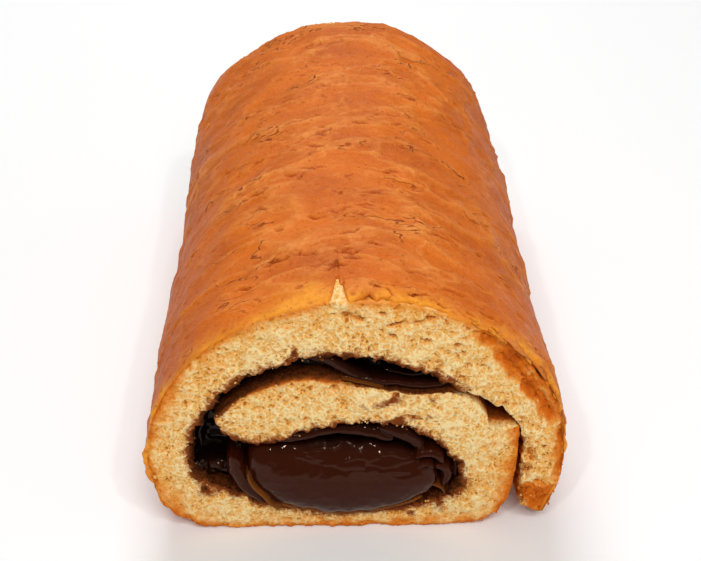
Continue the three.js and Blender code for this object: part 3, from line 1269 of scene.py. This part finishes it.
@dataclass
class Crust:
    """The baked skin round the sheet, a thin closed shell with lumps, wrinkles, cracks and a ragged rim."""

    section: Section
    columns: int = 364
    rows: int = 224
    thickness_at_rim: float = 1.1
    thickness: float = 1.9
    split_angle: float = 94.8
    split_depth: float = 12.5
    split_half_width: float = 2.6
    far_shoulder: float = 151.0
    shoulder_width: float = 14.0
    shoulder_height: float = 1.9
    crest_height: float = 0.9
    vein_height: float = 0.8
    small_height: float = 0.18
    lip_height: float = 0.25
    dent_depth: float = 0.6
    crack_depth: float = 0.85
    pit_depth: float = 0.4
    rim_sinks: float = 0.7
    lumps: tuple[Ripple, ...] = (Ripple(26.0, 0.9, 231), Ripple(9.0, 0.6, 232, 2))
    far_lumps: tuple[Ripple, ...] = (Ripple(13.0, 0.5, 234),)
    grain: tuple[Ripple, ...] = (Ripple(1.4, 0.07, 233),)

    def spacing(self) -> Array:
        """Places of the columns: close together round the wrap and closest at the split, wider underneath.

        Returns:
            The places, counted in stations.
        """
        section = self.section
        fine = np.linspace(0, section.corner(), 6001)
        line = section.guide(Side.CRUST, fine)
        step = np.concatenate([[0.0], np.linalg.norm(np.diff(line, axis=0), axis=1)])
        density = 0.5 + 0.5 * (1 - ease(fine, section.at_angle(188), section.at_angle(200)))
        to_split = (fine - section.at_angle(self.split_angle)) * section.wrap_step
        density = density + 2.4 * np.exp(-((to_split / 3.2) ** 2))
        run = np.cumsum(step * density)
        return np.interp(np.linspace(0, run[-1], self.columns + 1), run, fine)

    def rim(self, angle: Array, girth: Array) -> Array:
        """How far the rim lies back from the cut: fine nibbles, a split at the crown and a torn right.

        Args:
            angle: place round the wrap, in degrees from the right.
            girth: the same place, in millimetres.

        Returns:
            The distances in millimetres.
        """
        line = self.on_line(girth)
        back = 0.35 + 0.6 * np.abs(billow(line, 3.0, 201, 2)) + 0.3 * np.abs(billow(line, 1.2, 202))
        torn = band(angle, -14, 6, 44, 60)
        back = back + torn * (1.0 + 3.0 * np.abs(billow(line, 6.0, 203, 2)))
        ragged = band(angle, 62, 70, 89, 93)
        back = back + ragged * (0.8 + 4.5 * np.abs(billow(line, 5.0, 204, 3)))
        to_split = np.abs(girth - np.interp(self.split_angle, angle, girth)) + 0.4 * billow(line, 1.3, 205, 2)
        split = np.clip(1 - to_split / self.split_half_width, 0, 1)
        return back + self.split_depth * split * (1 + 0.15 * billow(line, 0.9, 206))

    def relief(self, girth: Array, y: Array, height: Array) -> tuple[Array, dict[str, Array]]:
        """The skin's relief.

        Lumps are noise of two sizes. Wrinkles are the sharp crests of noise drawn out round the girth on
        places that are first bent by wider noise. Cracks are grooves with raised lips, and pits are bowls.

        Args:
            girth: place round the roll, in millimetres.
            y: place along the roll.
            height: height over the floor.

        Returns:
            How far each point stands out of the guide, and the marks by name.
        """
        flat = np.stack([girth, y], -1)
        bend = 8.0 * billow(flat, 38.0, 211) + 3.0 * billow(flat, 13.0, 212)
        drawn = np.stack([girth / 4.0 + 0.3 * bend, y + bend], -1)
        crest = crests(drawn, 9.0, 213, 2, 12) * ease(billow(flat, 22.0, 214), -0.3, 0.35)
        veins = crests(flat * (0.6, 1.0) + bend[..., None], 11.0, 216, 2, 16)
        veins = veins * ease(billow(flat, 30.0, 217) + 0.012 * y, -0.1, 0.5)
        small = crests(drawn * (1.6, 1.0), 2.8, 215, 1, 4)
        span = (float(girth[:, 0][np.argmax(height[:, 0] > 45.0)]), float(girth.max()) * 0.52)
        crack, lips = Cracks().depth(girth, y, span)
        pit = bowls(flat, 5.0, 221, (0.4, 1.0), 0.5)
        dents = bowls(flat * (0.5, 1.0), 14.0, 222, (1.5, 4.0), 0.6)
        lumps = rippled(flat, self.lumps) + ease(y, 20.0, 80.0) * rippled(flat, self.far_lumps)
        out = lumps + self.crest_height * crest + self.vein_height * veins + self.small_height * small
        out = out + self.lip_height * lips - self.dent_depth * dents
        out = out - self.crack_depth * crack - self.pit_depth * pit + rippled(flat, self.grain)
        free = ease(height, 0.5, 8.0)
        wrinkle = np.clip(crest + 0.9 * veins + 0.35 * small + 0.5 * lips, 0, 1) * free
        marks = {"wrinkle": wrinkle, "crack": np.clip(crack + 0.6 * pit, 0, 1)}
        return out * (0.15 + 0.85 * free), marks

    def flare(self, angle: Array, girth: Array, behind: Array) -> Array:
        """How far the skin curls out by the shown cut, in tatters low down on both sides.

        Args:
            angle: place round the wrap, in degrees from the right.
            girth: the same place, in millimetres.
            behind: distance to the shown cut.

        Returns:
            The distances in millimetres.
        """
        low_down = band(angle, -26, -8, 28, 50) + band(angle, 148, 166, 190, 204)
        tatters = 0.7 + 1.3 * billow(self.on_line(girth), 4.0, 251, 2)
        return (low_down * np.clip(tatters, 0.1, None))[:, None] * np.exp(-behind / 4.0)

    def build(self) -> bpy.types.Object:
        """Makes the crust, with its marks and its finish.

        Returns:
            The object, at the origin.
        """
        section = self.section
        places = self.spacing()
        line = section.guide(Side.CRUST, places)
        run, outwards = run_along(line), to_right(line)
        angle = (places - len(section.loose_end)) * section.wrap_step
        front, back = section.low[1], section.high[1]
        share = np.linspace(0, 1, self.rows + 1)
        steps = front + (back - front) * (0.75 * share + 0.25 * share**2)
        lies_back = self.rim(angle, run)[:, None]
        from_front, from_back = steps[None] - front, back - steps[None]
        y = steps[None] + lies_back * (1 - ease(from_front / (1.6 * lies_back + 6.0), 0, 1))
        far_rim = 0.4 * self.rim(180 - angle, run + 77.0)[:, None] * (np.abs(angle - 90) < 100)[:, None]
        y = y - far_rim * (1 - ease(from_back / 8.0, 0, 1))
        girth = np.broadcast_to(run[:, None], y.shape)
        relief, marks = self.relief(girth, y, np.broadcast_to(line[:, 1:], y.shape))
        to_rim = np.clip(np.minimum(y - front - lies_back, back - y), 0, None)
        relief = relief - self.rim_sinks * np.exp(-to_rim) + self.flare(angle, run, y - front)
        shoulder = np.exp(-(((angle - self.far_shoulder) / self.shoulder_width) ** 2))
        relief = relief + self.shoulder_height * shoulder[:, None] * ease(y, 30.0, 84.0)
        deep = self.thickness_at_rim + (self.thickness - self.thickness_at_rim) * ease(to_rim, 0.5, 6.0)
        near = self.lifted(line, outwards, relief, y)
        inside = self.lifted(line, outwards, -deep, y)
        edge = Hull.edge(near.shape)
        rim_points, under = near.reshape(-1, 3)[edge], inside.reshape(-1, 3)[edge]
        lip = 0.45 * rim_points + 0.55 * under
        halfway = (0.15 * rim_points + 0.85 * under)[::2]
        hull = Hull(near, [lip, halfway], inside[::4, ::4])
        uneven = 1 + 0.7 * billow(np.stack([girth, y], -1), 5.0, 241, 2)
        at_flap = np.exp(-(((angle - self.split_angle - 9.0) / 7.0) ** 2))[:, None]
        behind = np.clip(y - front - np.minimum(lies_back, 3.0), 0, None)
        marks["rim"] = np.clip(np.exp(-behind / (3.2 + 4.0 * at_flap)) * (uneven + 0.6 * at_flap), 0, 1)
        marks["girth"] = np.stack([girth, y, np.zeros_like(y)], -1) * MM
        held = {name: self.carried(values, edge) for name, values in marks.items()}
        points = section.settle(hull.points())
        points[:, 2] = np.maximum(points[:, 2], 0.0)
        return make_piece("crust", points, hull.faces(), held, CrustFinish().make())

    @staticmethod
    def on_line(girth: Array) -> Array:
        """Places round the roll as points in two dimensions, for noise."""
        return np.stack([girth, np.zeros_like(girth)], -1)

    @staticmethod
    def lifted(line: Array, outwards: Array, height: Array, y: Array) -> Array:
        """The grid of points that stand height outside the guide at places y along the roll."""
        flat = line[:, None] + outwards[:, None] * height[..., None]
        return np.stack([flat[..., 0], y, flat[..., 1]], -1)

    @staticmethod
    def carried(values: Array, edge: NDArray) -> Array:
        """A mark of the near grid, repeated for the lip, for its half ring and for the inner grid.

        Args:
            values: the mark on the near grid.
            edge: indices round that grid.

        Returns:
            The mark on all points.
        """
        wide = values.reshape(values.shape[0] * values.shape[1], -1)
        inner = values[::4, ::4].reshape(-1, wide.shape[1])
        return np.squeeze(np.vstack([wide, wide[edge], wide[edge][::2], inner]))


# ---------------------------------------------------------------- the filling


@dataclass(frozen=True)
class Lobe:
    """A broad rounded mass of cream on the cut, inside an outline round a middle point.

    Above the level bends_at it leans back by leans millimetres for each millimetre of height.
    """

    middle: tuple[float, float]
    outline: tuple[tuple[float, float], ...]
    stands: float
    base: float
    roundness: float
    bends_at: float
    leans: float

    def height(self, flat: Array) -> Array:
        """Height of the mass, from base at the outline to stands in the middle.

        The outline's radius is taken by bearing between its points. Over the radius the height follows a
        superellipse, flat in the middle and steep at the edge.

        Args:
            flat: places on the cut, as (x, z).

        Returns:
            The heights in millimetres, and -inf outside the outline.
        """
        points = np.array(self.outline) - self.middle
        bearing = np.arctan2(points[:, 1], points[:, 0])
        order = np.argsort(bearing)
        bearing, radius = bearing[order], np.linalg.norm(points, axis=1)[order]
        turns = 2 * np.pi * np.array([-1, 0, 1])
        fine = np.radians(np.arange(-180, 180))
        reach = np.interp(fine, (turns[:, None] + bearing).ravel(), np.tile(radius, 3))
        window = np.hanning(15) / np.hanning(15).sum()
        reach = np.convolve(np.tile(reach, 3), window, "same")[360:721]
        off = flat - self.middle
        away = np.hypot(off[..., 0], off[..., 1])
        here = np.arctan2(off[..., 1], off[..., 0])
        share = away / np.interp(here, np.append(fine, np.pi), reach)
        dome = np.clip(1 - share**self.roundness, 0, 1) ** (1 / self.roundness)
        bend = self.bends_at + 1.6 * billow(flat * (0.5, 1.0), 7.0, 306, 2)
        back = self.leans * np.logaddexp(0.0, (flat[..., 1] - bend) / 0.8) * 0.8
        return np.where(share < 1, self.base + (self.stands - self.base) * dome - back, -np.inf)


@dataclass(frozen=True)
class Fold:
    """A long fold of cream on the cut, drawn along a line of points and tapering to both ends.

    It leans by lean millimetres for each millimetre to the left of its line.
    """

    line: tuple[tuple[float, float], ...]
    half_width: float
    stands: float
    drop: float = 3.0
    lean: float = 0.0
    # Share of the painted amber reflection on the fold's edge
    amber_reflection: float = 0.0

    def drawn(self) -> Array:
        """The line as a smooth curve: cubics through its points, six steps to each stretch.

        Returns:
            The curve's points.
        """
        points = np.array(self.line, float)
        padded = np.vstack([2 * points[0] - points[1], points, 2 * points[-1] - points[-2]])
        share = np.linspace(0, 1, 6, endpoint=False)[None, :, None]
        four = [padded[k : len(padded) - 3 + k][:, None] for k in range(4)]
        return np.vstack([cubic(*four, share).reshape(-1, 2), points[-1:]])

    def height(self, flat: Array) -> Array:
        """Height of the fold: a circle's rounding across the line, stretched to drop.

        Args:
            flat: places on the cut, as (x, z).

        Returns:
            The heights in millimetres, and -inf outside the fold.
        """
        curve = self.drawn()
        nearest = np.full(flat.shape[:-1], np.inf)
        signed, run = np.zeros_like(nearest), np.zeros_like(nearest)
        for count, (start, stop) in enumerate(zip(curve, curve[1:])):
            along = stop - start
            share = np.clip(((flat - start) @ along) / (along @ along), 0, 1)
            off = flat - start - share[..., None] * along
            away = np.linalg.norm(off, axis=-1)
            left = np.sign(along[0] * off[..., 1] - along[1] * off[..., 0])
            closer = away < nearest
            nearest = np.where(closer, away, nearest)
            signed = np.where(closer, left * away, signed)
            run = np.where(closer, (count + share) / (len(curve) - 1), run)
        taper = np.sqrt(1 - 0.95 * np.abs(2 * run - 1) ** 3)
        across = nearest / (self.half_width * taper)
        rounding = 1 - np.sqrt(np.clip(1 - across**2, 0, 1))
        height = self.stands - self.drop * rounding + self.lean * signed
        return np.where(across < 1, height, -np.inf)


@dataclass
class Filling:
    """The chocolate cream: a thin arc between the layers, a pocket painted dark as shade and the glossy core.
    """

    section: Section
    arc_columns: int = 150
    core_columns: int = 280
    rows: int = 90
    reach: float = 1.3
    arc_angles: Pair = (45.0, 156.0)
    bed: float = 6.5
    arc_from: float = 47.0
    over_core_from: float = 24.0
    over_core: Pair = (-24.0, 20.0)
    shade: float = 3.6
    shaded_hollow_depths: Pair = (3.0, 7.5)
    pocket_sinks: float = 5.0
    ridge_height: float = 0.85
    wet_height: float = 1.8
    swell: Ripple = Ripple(4.5, 0.16, 303, 2)
    grain: tuple[Ripple, ...] = (Ripple(1.4, 0.05, 305),)
    ring_shares: tuple[float, ...] = (0.03, 0.2, 0.4, 0.6, 0.8, 0.97)
    pocket: Spot = Spot(-39.5, 30.0, 8.0, 12.0)
    ridged: Spot = Spot(1.0, 27.6, 25.0, 5.0, -9)
    wet: Spot = Spot(-40.5, 20.5, 6.5, 4.5)
    core: Lobe = Lobe(
        (-4.0, 18.5),
        (
            (-30.2, 26), (-28.5, 29.2), (-24, 30.6), (-16, 30.8), (-8, 31), (0, 30.6), (8, 29.6),
            (14, 27.9), (18, 25.4), (21.8, 22), (22.6, 17), (20.5, 13.3), (16, 10.6), (9, 8),
            (2, 6.4), (-5, 6.2), (-13, 7.6), (-19, 8.7), (-22.5, 9.8), (-27, 14.5), (-29.8, 20),
        ),
        stands=3.4, base=-3.5, roundness=3.4, bends_at=21.5, leans=0.45,
    )
    folds: tuple[Fold, ...] = (
        Fold(((-34.2, 27), (-33.0, 21.0), (-30.0, 15.0), (-26, 10.2)), 2.9, 0.4, 3.0, 0.1),
        Fold(((-29.9, 22), (-29, 18.5), (-26.5, 14.5), (-23.6, 10.4), (-21, 9.2)), 0.6, 2.2, 2.0, 0.0, 0.7),
        Fold(
            ((-22, 9.4), (-16, 8.4), (-9, 7), (-2, 6.3), (6, 7.5), (13, 9.6), (18, 11.8)),
            0.6, 1.2, 1.5, 0.0, 0.9,
        ),
        Fold(((-22.5, 31.6), (-16, 33.2), (-9.5, 34.6), (-3, 35.2)), 1.7, -0.9, 2.0, -0.5),
        Fold(((-7.5, 35), (0, 34.9), (6, 33.6), (10, 31.8)), 2.0, -1.0, 2.0, -0.5),
        Fold(((6, 36), (11.5, 34.2), (15.5, 31.4), (18.5, 28.4)), 2.3, -0.9, 2.0, -0.4),
        Fold(((15.8, 26), (18.5, 27.3), (21.5, 26.6), (24, 24.2)), 1.6, 0.6, 2.5, -0.2),
        Fold(((16.5, 23), (19, 24), (21, 23)), 0.9, 1.4, 2.0),
        Fold(((21.5, 22.6), (24.2, 21.6), (25, 18.6), (23.6, 15.8)), 1.7, 0.4, 2.5, 0.2),
        Fold(((18.6, 16.2), (21.6, 15.8), (23.6, 14.6), (24.6, 12)), 0.5, 0.6, 1.5, 0.0, 0.5),
        Fold(((26.4, 26), (27.8, 21), (27.6, 16)), 1.3, -2.6, 2.0),
        Fold(((-23, 57.8), (-17, 59.6), (-11, 60)), 1.3, -2.6, 2.0, 0.3),
        Fold(((-14, 60), (-9, 59.2), (-5, 56.6), (-1, 53.8), (4, 52.2)), 2.1, -1.4, 2.5, -0.25),
        Fold(((0, 53), (5, 51.8), (11, 50.6), (17, 50), (22, 50.4), (24.5, 51.6)), 1.2, -1.0, 2.0, -0.2),
        Fold(((-4, 53), (1.5, 51.7), (7, 50)), 0.5, -0.4, 1.5, 0.0, 0.5),
        Fold(((7.5, 54.6), (11.5, 53), (15.5, 52.6), (19.5, 53), (22, 51.6)), 0.9, -2.6, 2.0, 0.3),
        Fold(((2, 57.2), (8, 56.2), (14, 54.9)), 0.9, -4.2, 2.0, 0.3),
        Fold(((-35, 51), (-31, 54.5), (-26, 57)), 0.9, -4.0, 2.0, 0.3),
        Fold(((-46, 20.5), (-42, 20.2), (-37.5, 20.8), (-34.8, 19)), 3.0, -2.8, 3.0),
        Fold(((-42.5, 26), (-42.8, 31), (-41, 36)), 1.2, -5.5, 2.5),
        Fold(((-34.5, 33), (-31.5, 31.2), (-30.6, 27.5)), 1.6, -4.5, 2.5),
    )

    def lines(self) -> tuple[Array, Array]:
        """The outer and inner lines of the filling's strip, reaching a little into the sponge.

        Returns:
            The two lines, with as many points each.
        """
        section = self.section
        last, corner = section.last(), section.corner()
        arc_start, arc_end = section.at_angle(self.arc_angles[0]), section.at_angle(self.arc_angles[1])
        outer = self.joined((Side.CREAM, arc_start, arc_end), (Side.CREAM, arc_end + 0.35, corner - 3.4))
        inner = self.joined((Side.CRUST, corner + 3.75, last), (Side.CREAM, last, corner - 2.4))
        return outer + self.reach * to_right(outer), inner - self.reach * to_right(inner)

    def joined(self, arc: tuple[Side, float, float], core: tuple[Side, float, float]) -> Array:
        """One line made of two stretches of the sheet's sides.

        Args:
            arc: the stretch along the arc, as its side, first place and last place.
            core: the stretch round the core.

        Returns:
            The line's points, in even steps along each stretch.
        """
        halves = []
        for (side, start, stop), count in ((arc, self.arc_columns), (core, self.core_columns)):
            places = self.section.even_places(start, stop, count, side)
            halves.append(self.section.guide(side, places))
        return np.vstack([halves[0], halves[1][1:]])

    def relief(self, flat: Array) -> tuple[Array, dict[str, Array]]:
        """Relief of the cream on the cut: the highest fold at each place, over a deep uneven bed.

        Places are pushed about by noise first, so that folds have uneven outlines. Along the core's upper
        edge the crests of drawn-out noise stand up as thin ridges.

        Args:
            flat: places on the cut, as (x, z).

        Returns:
            The heights in millimetres, and the marks by name.
        """
        x, z = flat[..., 0], flat[..., 1]
        bent = flat + 0.5 * pushes(flat, 3.5, (307, 308), 2)
        in_pocket = np.sqrt(self.pocket.share(flat))
        height = -self.bed - billow(flat, 4.0, 301, 2) - self.pocket_sinks * in_pocket
        core = self.core.height(bent)
        height = np.maximum(height, core)
        # Painted reflection: the topmost fold gives its share of the amber glint
        amber_reflection = np.zeros_like(x)
        for fold in self.folds:
            raised = fold.height(bent)
            amber_reflection = np.where(raised > height, fold.amber_reflection, amber_reflection)
            height = np.maximum(height, raised)
        on_top, wet = np.sqrt(self.ridged.share(flat)), np.sqrt(self.wet.share(flat))
        ridge = crests(bent * (0.35, 1.4), 3.0, 302, 2, 6)
        height = height + self.ridge_height * on_top * ridge
        height = height + self.wet_height * wet * billow(flat, 1.8, 304, 3)
        height = height + rippled(flat * (0.7, 1.2), (self.swell,)) + rippled(flat, self.grain)
        # Painted shade: what lies deep is painted dark, and less depth is enough in the arc, over the core
        # and on the left
        in_arc = z > self.arc_from
        left, right = self.over_core
        over_core = (core < 0.4) & (z > self.over_core_from) & (x > left) & (x < right)
        shaded = self.shade * in_arc + self.shade * over_core * ~in_arc + 2.6 * ease(-x, 32.0, 35.0)
        return height, {"shaded_hollow": ease(shaded - height, *self.shaded_hollow_depths), "amber_reflection": amber_reflection}

    def cut(self, end: End, flat: Array) -> tuple[Array, dict[str, Array]]:
        """One cut's surface and its marks.

        Args:
            end: which cut.
            flat: places on the cut, as (x, z).

        Returns:
            The points in millimetres, and the marks by name.
        """
        height, marks = self.relief(flat)
        y = self.section.level(end) + end.value * height
        return np.stack([flat[..., 0], y, flat[..., 1]], -1), marks

    def build(self) -> bpy.types.Object:
        """Makes the filling, with its marks and its finish.

        Returns:
            The object, at the origin.
        """
        outside, inside = self.lines()
        share = np.linspace(0, 1, self.rows + 1)[None, :, None]
        flat = outside[:, None] * (1 - share) + inside[:, None] * share
        near, near_marks = self.cut(End.FRONT, flat)
        far, far_marks = self.cut(End.BACK, flat[::2, ::2])
        edge = Hull.edge(near.shape)
        loop, far_loop = near.reshape(-1, 3)[edge], far.reshape(-1, 3)[Hull.edge(far.shape)]
        coarse = loop[::2]
        rings = [coarse * (1 - s) + far_loop * s for s in self.ring_shares]
        hull = Hull(near, [loop + (0, 1.0, 0), *rings], far)
        marks = {}
        for name, values in near_marks.items():
            rest = [values.ravel()[edge], *[values.ravel()[edge][::2]] * len(rings)]
            marks[name] = np.concatenate([values.ravel(), *rest, far_marks[name].ravel()])
        points = self.section.settle(hull.points())
        return make_piece("chocolate_filling", points, hull.faces(), marks, FillingFinish().make())


# ---------------------------------------------------------------- loose bits


@dataclass
class Crumbs:
    """Small torn bits of crumb that cling to the shown cut, most of them along its edges."""

    section: Section
    count: int = 240
    seed: int = 17
    sizes: Pair = (0.14, 0.45)
    dented: float = 0.45
    lowest: float = 1.5

    @staticmethod
    def ball() -> tuple[Array, NDArray]:
        """Corners and triangles of a unit ball with eighty faces.

        Returns:
            The corners, and three indices for each triangle.
        """
        shape = bmesh.new()
        bmesh.ops.create_icosphere(shape, subdivisions=2, radius=1.0)
        mesh = bpy.data.meshes.new("ball")
        shape.to_mesh(mesh)
        shape.free()
        points = np.empty(3 * len(mesh.vertices))
        faces = np.empty(3 * len(mesh.polygons), np.int32)
        mesh.vertices.foreach_get("co", points)
        mesh.polygons.foreach_get("vertices", faces)
        bpy.data.meshes.remove(mesh)
        return points.reshape(-1, 3), faces.reshape(-1, 3)

    def seats(self, draw: np.random.Generator) -> tuple[Array, Array, Array]:
        """Where the bits lie: three in ten along each side of the sheet, and the rest anywhere on the cut.

        Args:
            draw: gives the random numbers.

        Returns:
            Their middles, as (x, y, z), how browned each is and its share across the sheet.
        """
        section = self.section
        place = draw.uniform(0.2, section.last() - 0.2, self.count)
        lot = draw.uniform(size=self.count)
        by_cream = 1.0 - 0.09 * draw.uniform(size=self.count)
        across = np.where(lot < 0.3, by_cream, draw.uniform(size=self.count))
        by_crust = 0.06 * draw.uniform(size=self.count) + 0.02
        across = np.where((lot > 0.5) & (lot < 0.8), by_crust, across)
        crust, cream = section.guide(Side.CRUST, place), section.guide(Side.CREAM, place)
        flat = crust * (1 - across[:, None]) + cream * across[:, None]
        level = np.full(self.count, section.low[1]) + draw.uniform(-0.5, 0.6, self.count)
        middles = np.stack([flat[:, 0], level, np.maximum(flat[:, 1], self.lowest)], -1)
        return middles, 1.1 * (across < 0.1) * (place < section.corner()), across

    def build(self) -> bpy.types.Object:
        """Makes the bits as one piece. Each is a ball, stretched, turned and dented by noise.

        Returns:
            The object, at the origin.
        """
        draw = np.random.default_rng(self.seed)
        ball, faces = self.ball()
        seats, browned, across = self.seats(draw)
        number = np.arange(self.count)[:, None, None]
        size = self.sizes[0] + (self.sizes[1] - self.sizes[0]) * draw.uniform(size=number.shape) ** 2
        stretch = draw.uniform(0.6, 1.3, (self.count, 1, 3))
        turn, _ = np.linalg.qr(draw.normal(size=(self.count, 3, 3)))
        dents = self.dented * billow(ball[None] + 9.0 * number, 0.9, 401)
        bits = ball[None] * (1 + dents)[..., None] * stretch * size
        points = np.einsum("nij,nkj->nki", turn, bits) + seats[:, None]
        points = self.section.settle(points.reshape(-1, 3))
        points[:, 2] = np.maximum(points[:, 2], 0.05)
        triangles = (faces[None] + len(ball) * number).reshape(-1, 3)
        flipped = np.repeat(np.linalg.det(turn) < 0, len(faces))
        triangles[flipped] = triangles[flipped][:, ::-1]
        stained = draw.uniform(-0.2, 0.9, self.count).clip(0, 1) * (across > 0.9)
        # low gives each bit a random share of the crumb's painted shade of the pores
        each = {"browning": browned, "stain": stained, "low": draw.uniform(0.1, 0.6, self.count)}
        held = {name: np.repeat(values, len(ball)) for name, values in each.items()}
        return make_piece("crumbs", points, (np.zeros((0, 4), int), triangles), held, CrumbFinish().make())


@dataclass(frozen=True)
class Flake:
    """A thin curled scrap of crust: its angle round the wrap, its place behind the cut, sizes and lift."""

    angle: float
    behind: float
    round_girth: float
    along: float
    lift: float


@dataclass
class Flakes:
    """Scraps of crust that stand off the torn right edge, with small ones along the rim."""

    section: Section
    count: int = 26
    seed: int = 23
    thickness: float = 0.3
    curl: float = 0.3
    nibbled: float = 0.35
    bend_radius: float = 14.0
    large: tuple[Flake, ...] = (
        Flake(44.0, 1.9, 4.6, 1.9, 0.1),
        Flake(33.0, 2.1, 3.8, 2.3, 0.2),
        Flake(23.0, 1.8, 3.4, 2.0, 0.3),
        Flake(14.0, 1.6, 2.0, 1.6, 0.4),
        Flake(150.0, 150.0, 2.2, 1.5, 0.8),
    )

    def drawn(self, draw: np.random.Generator) -> list[Flake]:
        """The large flakes and a seeded draw of small ones, most of them on the right.

        Args:
            draw: gives the random numbers.

        Returns:
            The flakes, large ones first.
        """
        small = []
        for _ in range(self.count):
            angle = draw.choice([draw.uniform(8, 60), draw.uniform(60, 182)], p=[0.92, 0.08])
            behind = draw.exponential(1.8) + 0.2
            sizes = draw.uniform(0.4, 1.3), draw.uniform(0.3, 0.9)
            small.append(Flake(angle, behind, *sizes, draw.uniform(-0.1, 0.15)))
        return [*self.large, *small]

    def build(self) -> bpy.types.Object:
        """Makes the flakes as one piece.

        A flake is a grid whose edge is nibbled by noise, bent by the square of the distance from its middle.

        Returns:
            The object, at the origin.
        """
        section = self.section
        draw = np.random.default_rng(self.seed)
        flakes = self.drawn(draw)
        u, v = np.meshgrid(np.linspace(-1, 1, 7), np.linspace(-1, 1, 5), indexing="ij")
        points, quads = [], []
        for number, flake in enumerate(flakes):
            nibble = 1 + self.nibbled * billow(np.stack([u, v], -1) * 2 + 13.0 * number, 1.0, 411, 2)
            girth = u * (1 - 0.35 * v**2) * nibble * flake.round_girth
            along = v * (1 - 0.35 * u**2) * nibble * flake.along
            place = section.at_angle(flake.angle)
            before, after = section.guide(Side.CRUST, np.array([place - 0.02, place + 0.02]))
            way = (after - before) / np.linalg.norm(after - before)
            out = np.array([way[1], -way[0]])
            curl = self.curl * (0.5 * v**2 * flake.along - 0.2 * u * v)
            rise = flake.lift + curl - (girth / self.bend_radius) ** 2
            for layer in (rise, rise - self.thickness):
                flat = (before + after) / 2 + way * girth[..., None] + out * layer[..., None]
                y = section.low[1] + flake.behind + along
                points.append(np.stack([flat[..., 0], y, flat[..., 1]], -1))
            hull = Hull(points[-2], [], points[-1])
            quads.append(hull.faces()[0] + 2 * u.size * number)
        solid = section.settle(np.vstack([grid.reshape(-1, 3) for grid in points]))
        solid[:, 2] = np.maximum(solid[:, 2], 0.1)
        pale = np.arange(len(flakes)) < len(self.large)
        rim = np.repeat(np.where(pale, 0.2, 0.7), 2 * u.size)
        held = {"rim": rim, "wrinkle": np.repeat(0.9 * pale, 2 * u.size), "girth": solid * MM}
        faces = np.vstack(quads), np.zeros((0, 3), int)
        return make_piece("flakes", solid, faces, held, CrustFinish().make())


# ---------------------------------------------------------------- the studio


@dataclass(frozen=True)
class SoftBox:
    """A square lamp: place and width in metres, power in watts, and whether glossy surfaces mirror it."""

    name: str
    place: tuple[float, float, float]
    width: float
    power: float
    mirrored: bool = True

    def hang(self, target: tuple[float, float, float]) -> None:
        """Puts the lamp in the scene, facing the target.

        Args:
            target: the point it faces, in metres.
        """
        lamp = bpy.data.lights.new(self.name, "AREA")
        lamp.size = self.width
        lamp.energy = self.power
        holder = bpy.data.objects.new(self.name, lamp)
        holder.location = self.place
        holder.visible_glossy = self.mirrored
        way = Vector(target) - Vector(self.place)
        holder.rotation_euler = way.to_track_quat("-Z", "Y").to_euler()
        bpy.context.scene.collection.objects.link(holder)


@dataclass(frozen=True)
class Studio:
    """A pale floor, soft light from above and the sides, and the camera above the shown cut."""

    camera_place: tuple[float, float, float] = (-0.0075, -0.345, 0.2477)
    camera_pitch: float = 33.0
    camera_yaw: float = 1.3
    lens: float = 62.8
    floor_side: float = 12.0
    floor_colour: tuple = (0.97, 0.97, 0.97, 1.0)
    sky: float = 0.2
    target: tuple[float, float, float] = (0.0, -0.04, 0.04)
    boxes: tuple[SoftBox, ...] = (
        SoftBox("front_top", (0.12, -0.75, 0.95), 0.6, 5.6, mirrored=False),
        SoftBox("back_top", (-0.1, 0.7, 1.0), 0.7, 8.3),
        SoftBox("right", (0.95, 0.0, 0.5), 0.6, 0.4),
        SoftBox("spark_left", (-0.3, -0.7, 0.85), 0.04, 1.3),
        SoftBox("spark_right", (0.35, -0.6, 0.95), 0.04, 1.1),
    )

    def build(self) -> None:
        """Sets up the camera, the world, the floor and the lamps."""
        scene = bpy.context.scene
        lens = bpy.data.cameras.new("camera")
        lens.lens = self.lens
        lens.clip_start = 0.01
        camera = bpy.data.objects.new("camera", lens)
        camera.location = self.camera_place
        camera.rotation_euler = (math.radians(90 - self.camera_pitch), 0.0, -math.radians(self.camera_yaw))
        scene.collection.objects.link(camera)
        scene.camera = camera
        scene.view_settings.view_transform = "Standard"
        world = bpy.data.worlds.new("studio")
        world.use_nodes = True
        sky = world.node_tree.nodes["Background"]
        sky.inputs["Color"].default_value = (1.0, 1.0, 1.0, 1.0)
        sky.inputs["Strength"].default_value = self.sky
        scene.world = world
        half = self.floor_side / 2
        corners = [(-half, -half, 0), (half, -half, 0), (half, half, 0), (-half, half, 0)]
        mesh = bpy.data.meshes.new("floor")
        mesh.from_pydata(corners, [], [(0, 1, 2, 3)])
        floor = bpy.data.objects.new("floor", mesh)
        scene.collection.objects.link(floor)
        white = Bench("floor").finish(Base_Color=self.floor_colour, Roughness=0.9, Specular_IOR_Level=0.1)
        mesh.materials.append(white)
        for box in self.boxes:
            box.hang(self.target)


# ---------------------------------------------------------------- putting it together


def register(piece: bpy.types.Object, node: str) -> None:
    """Says which body a piece rides on, hides the node that it stands for, and reports it.

    Args:
        piece: the piece.
        node: its node's name.
    """
    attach(piece, "root")
    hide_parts(node)
    log.info("%s: %d points, %d faces", piece.name, len(piece.data.vertices), len(piece.data.polygons))


def main() -> None:
    """Builds the studio and the roll's pieces in order."""
    logging.basicConfig(level=logging.INFO, format="%(name)s %(message)s")
    Studio().build()
    low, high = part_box("sponge")
    section = Section(tuple(v / MM for v in low), tuple(v / MM for v in high))
    register(Sponge(section).build(), "sponge")
    register(Crust(section).build(), "sponge")
    register(Filling(section).build(), "filling")
    register(Crumbs(section).build(), "sponge")
    register(Flakes(section).build(), "sponge")


if __name__ == "__main__":
    main()
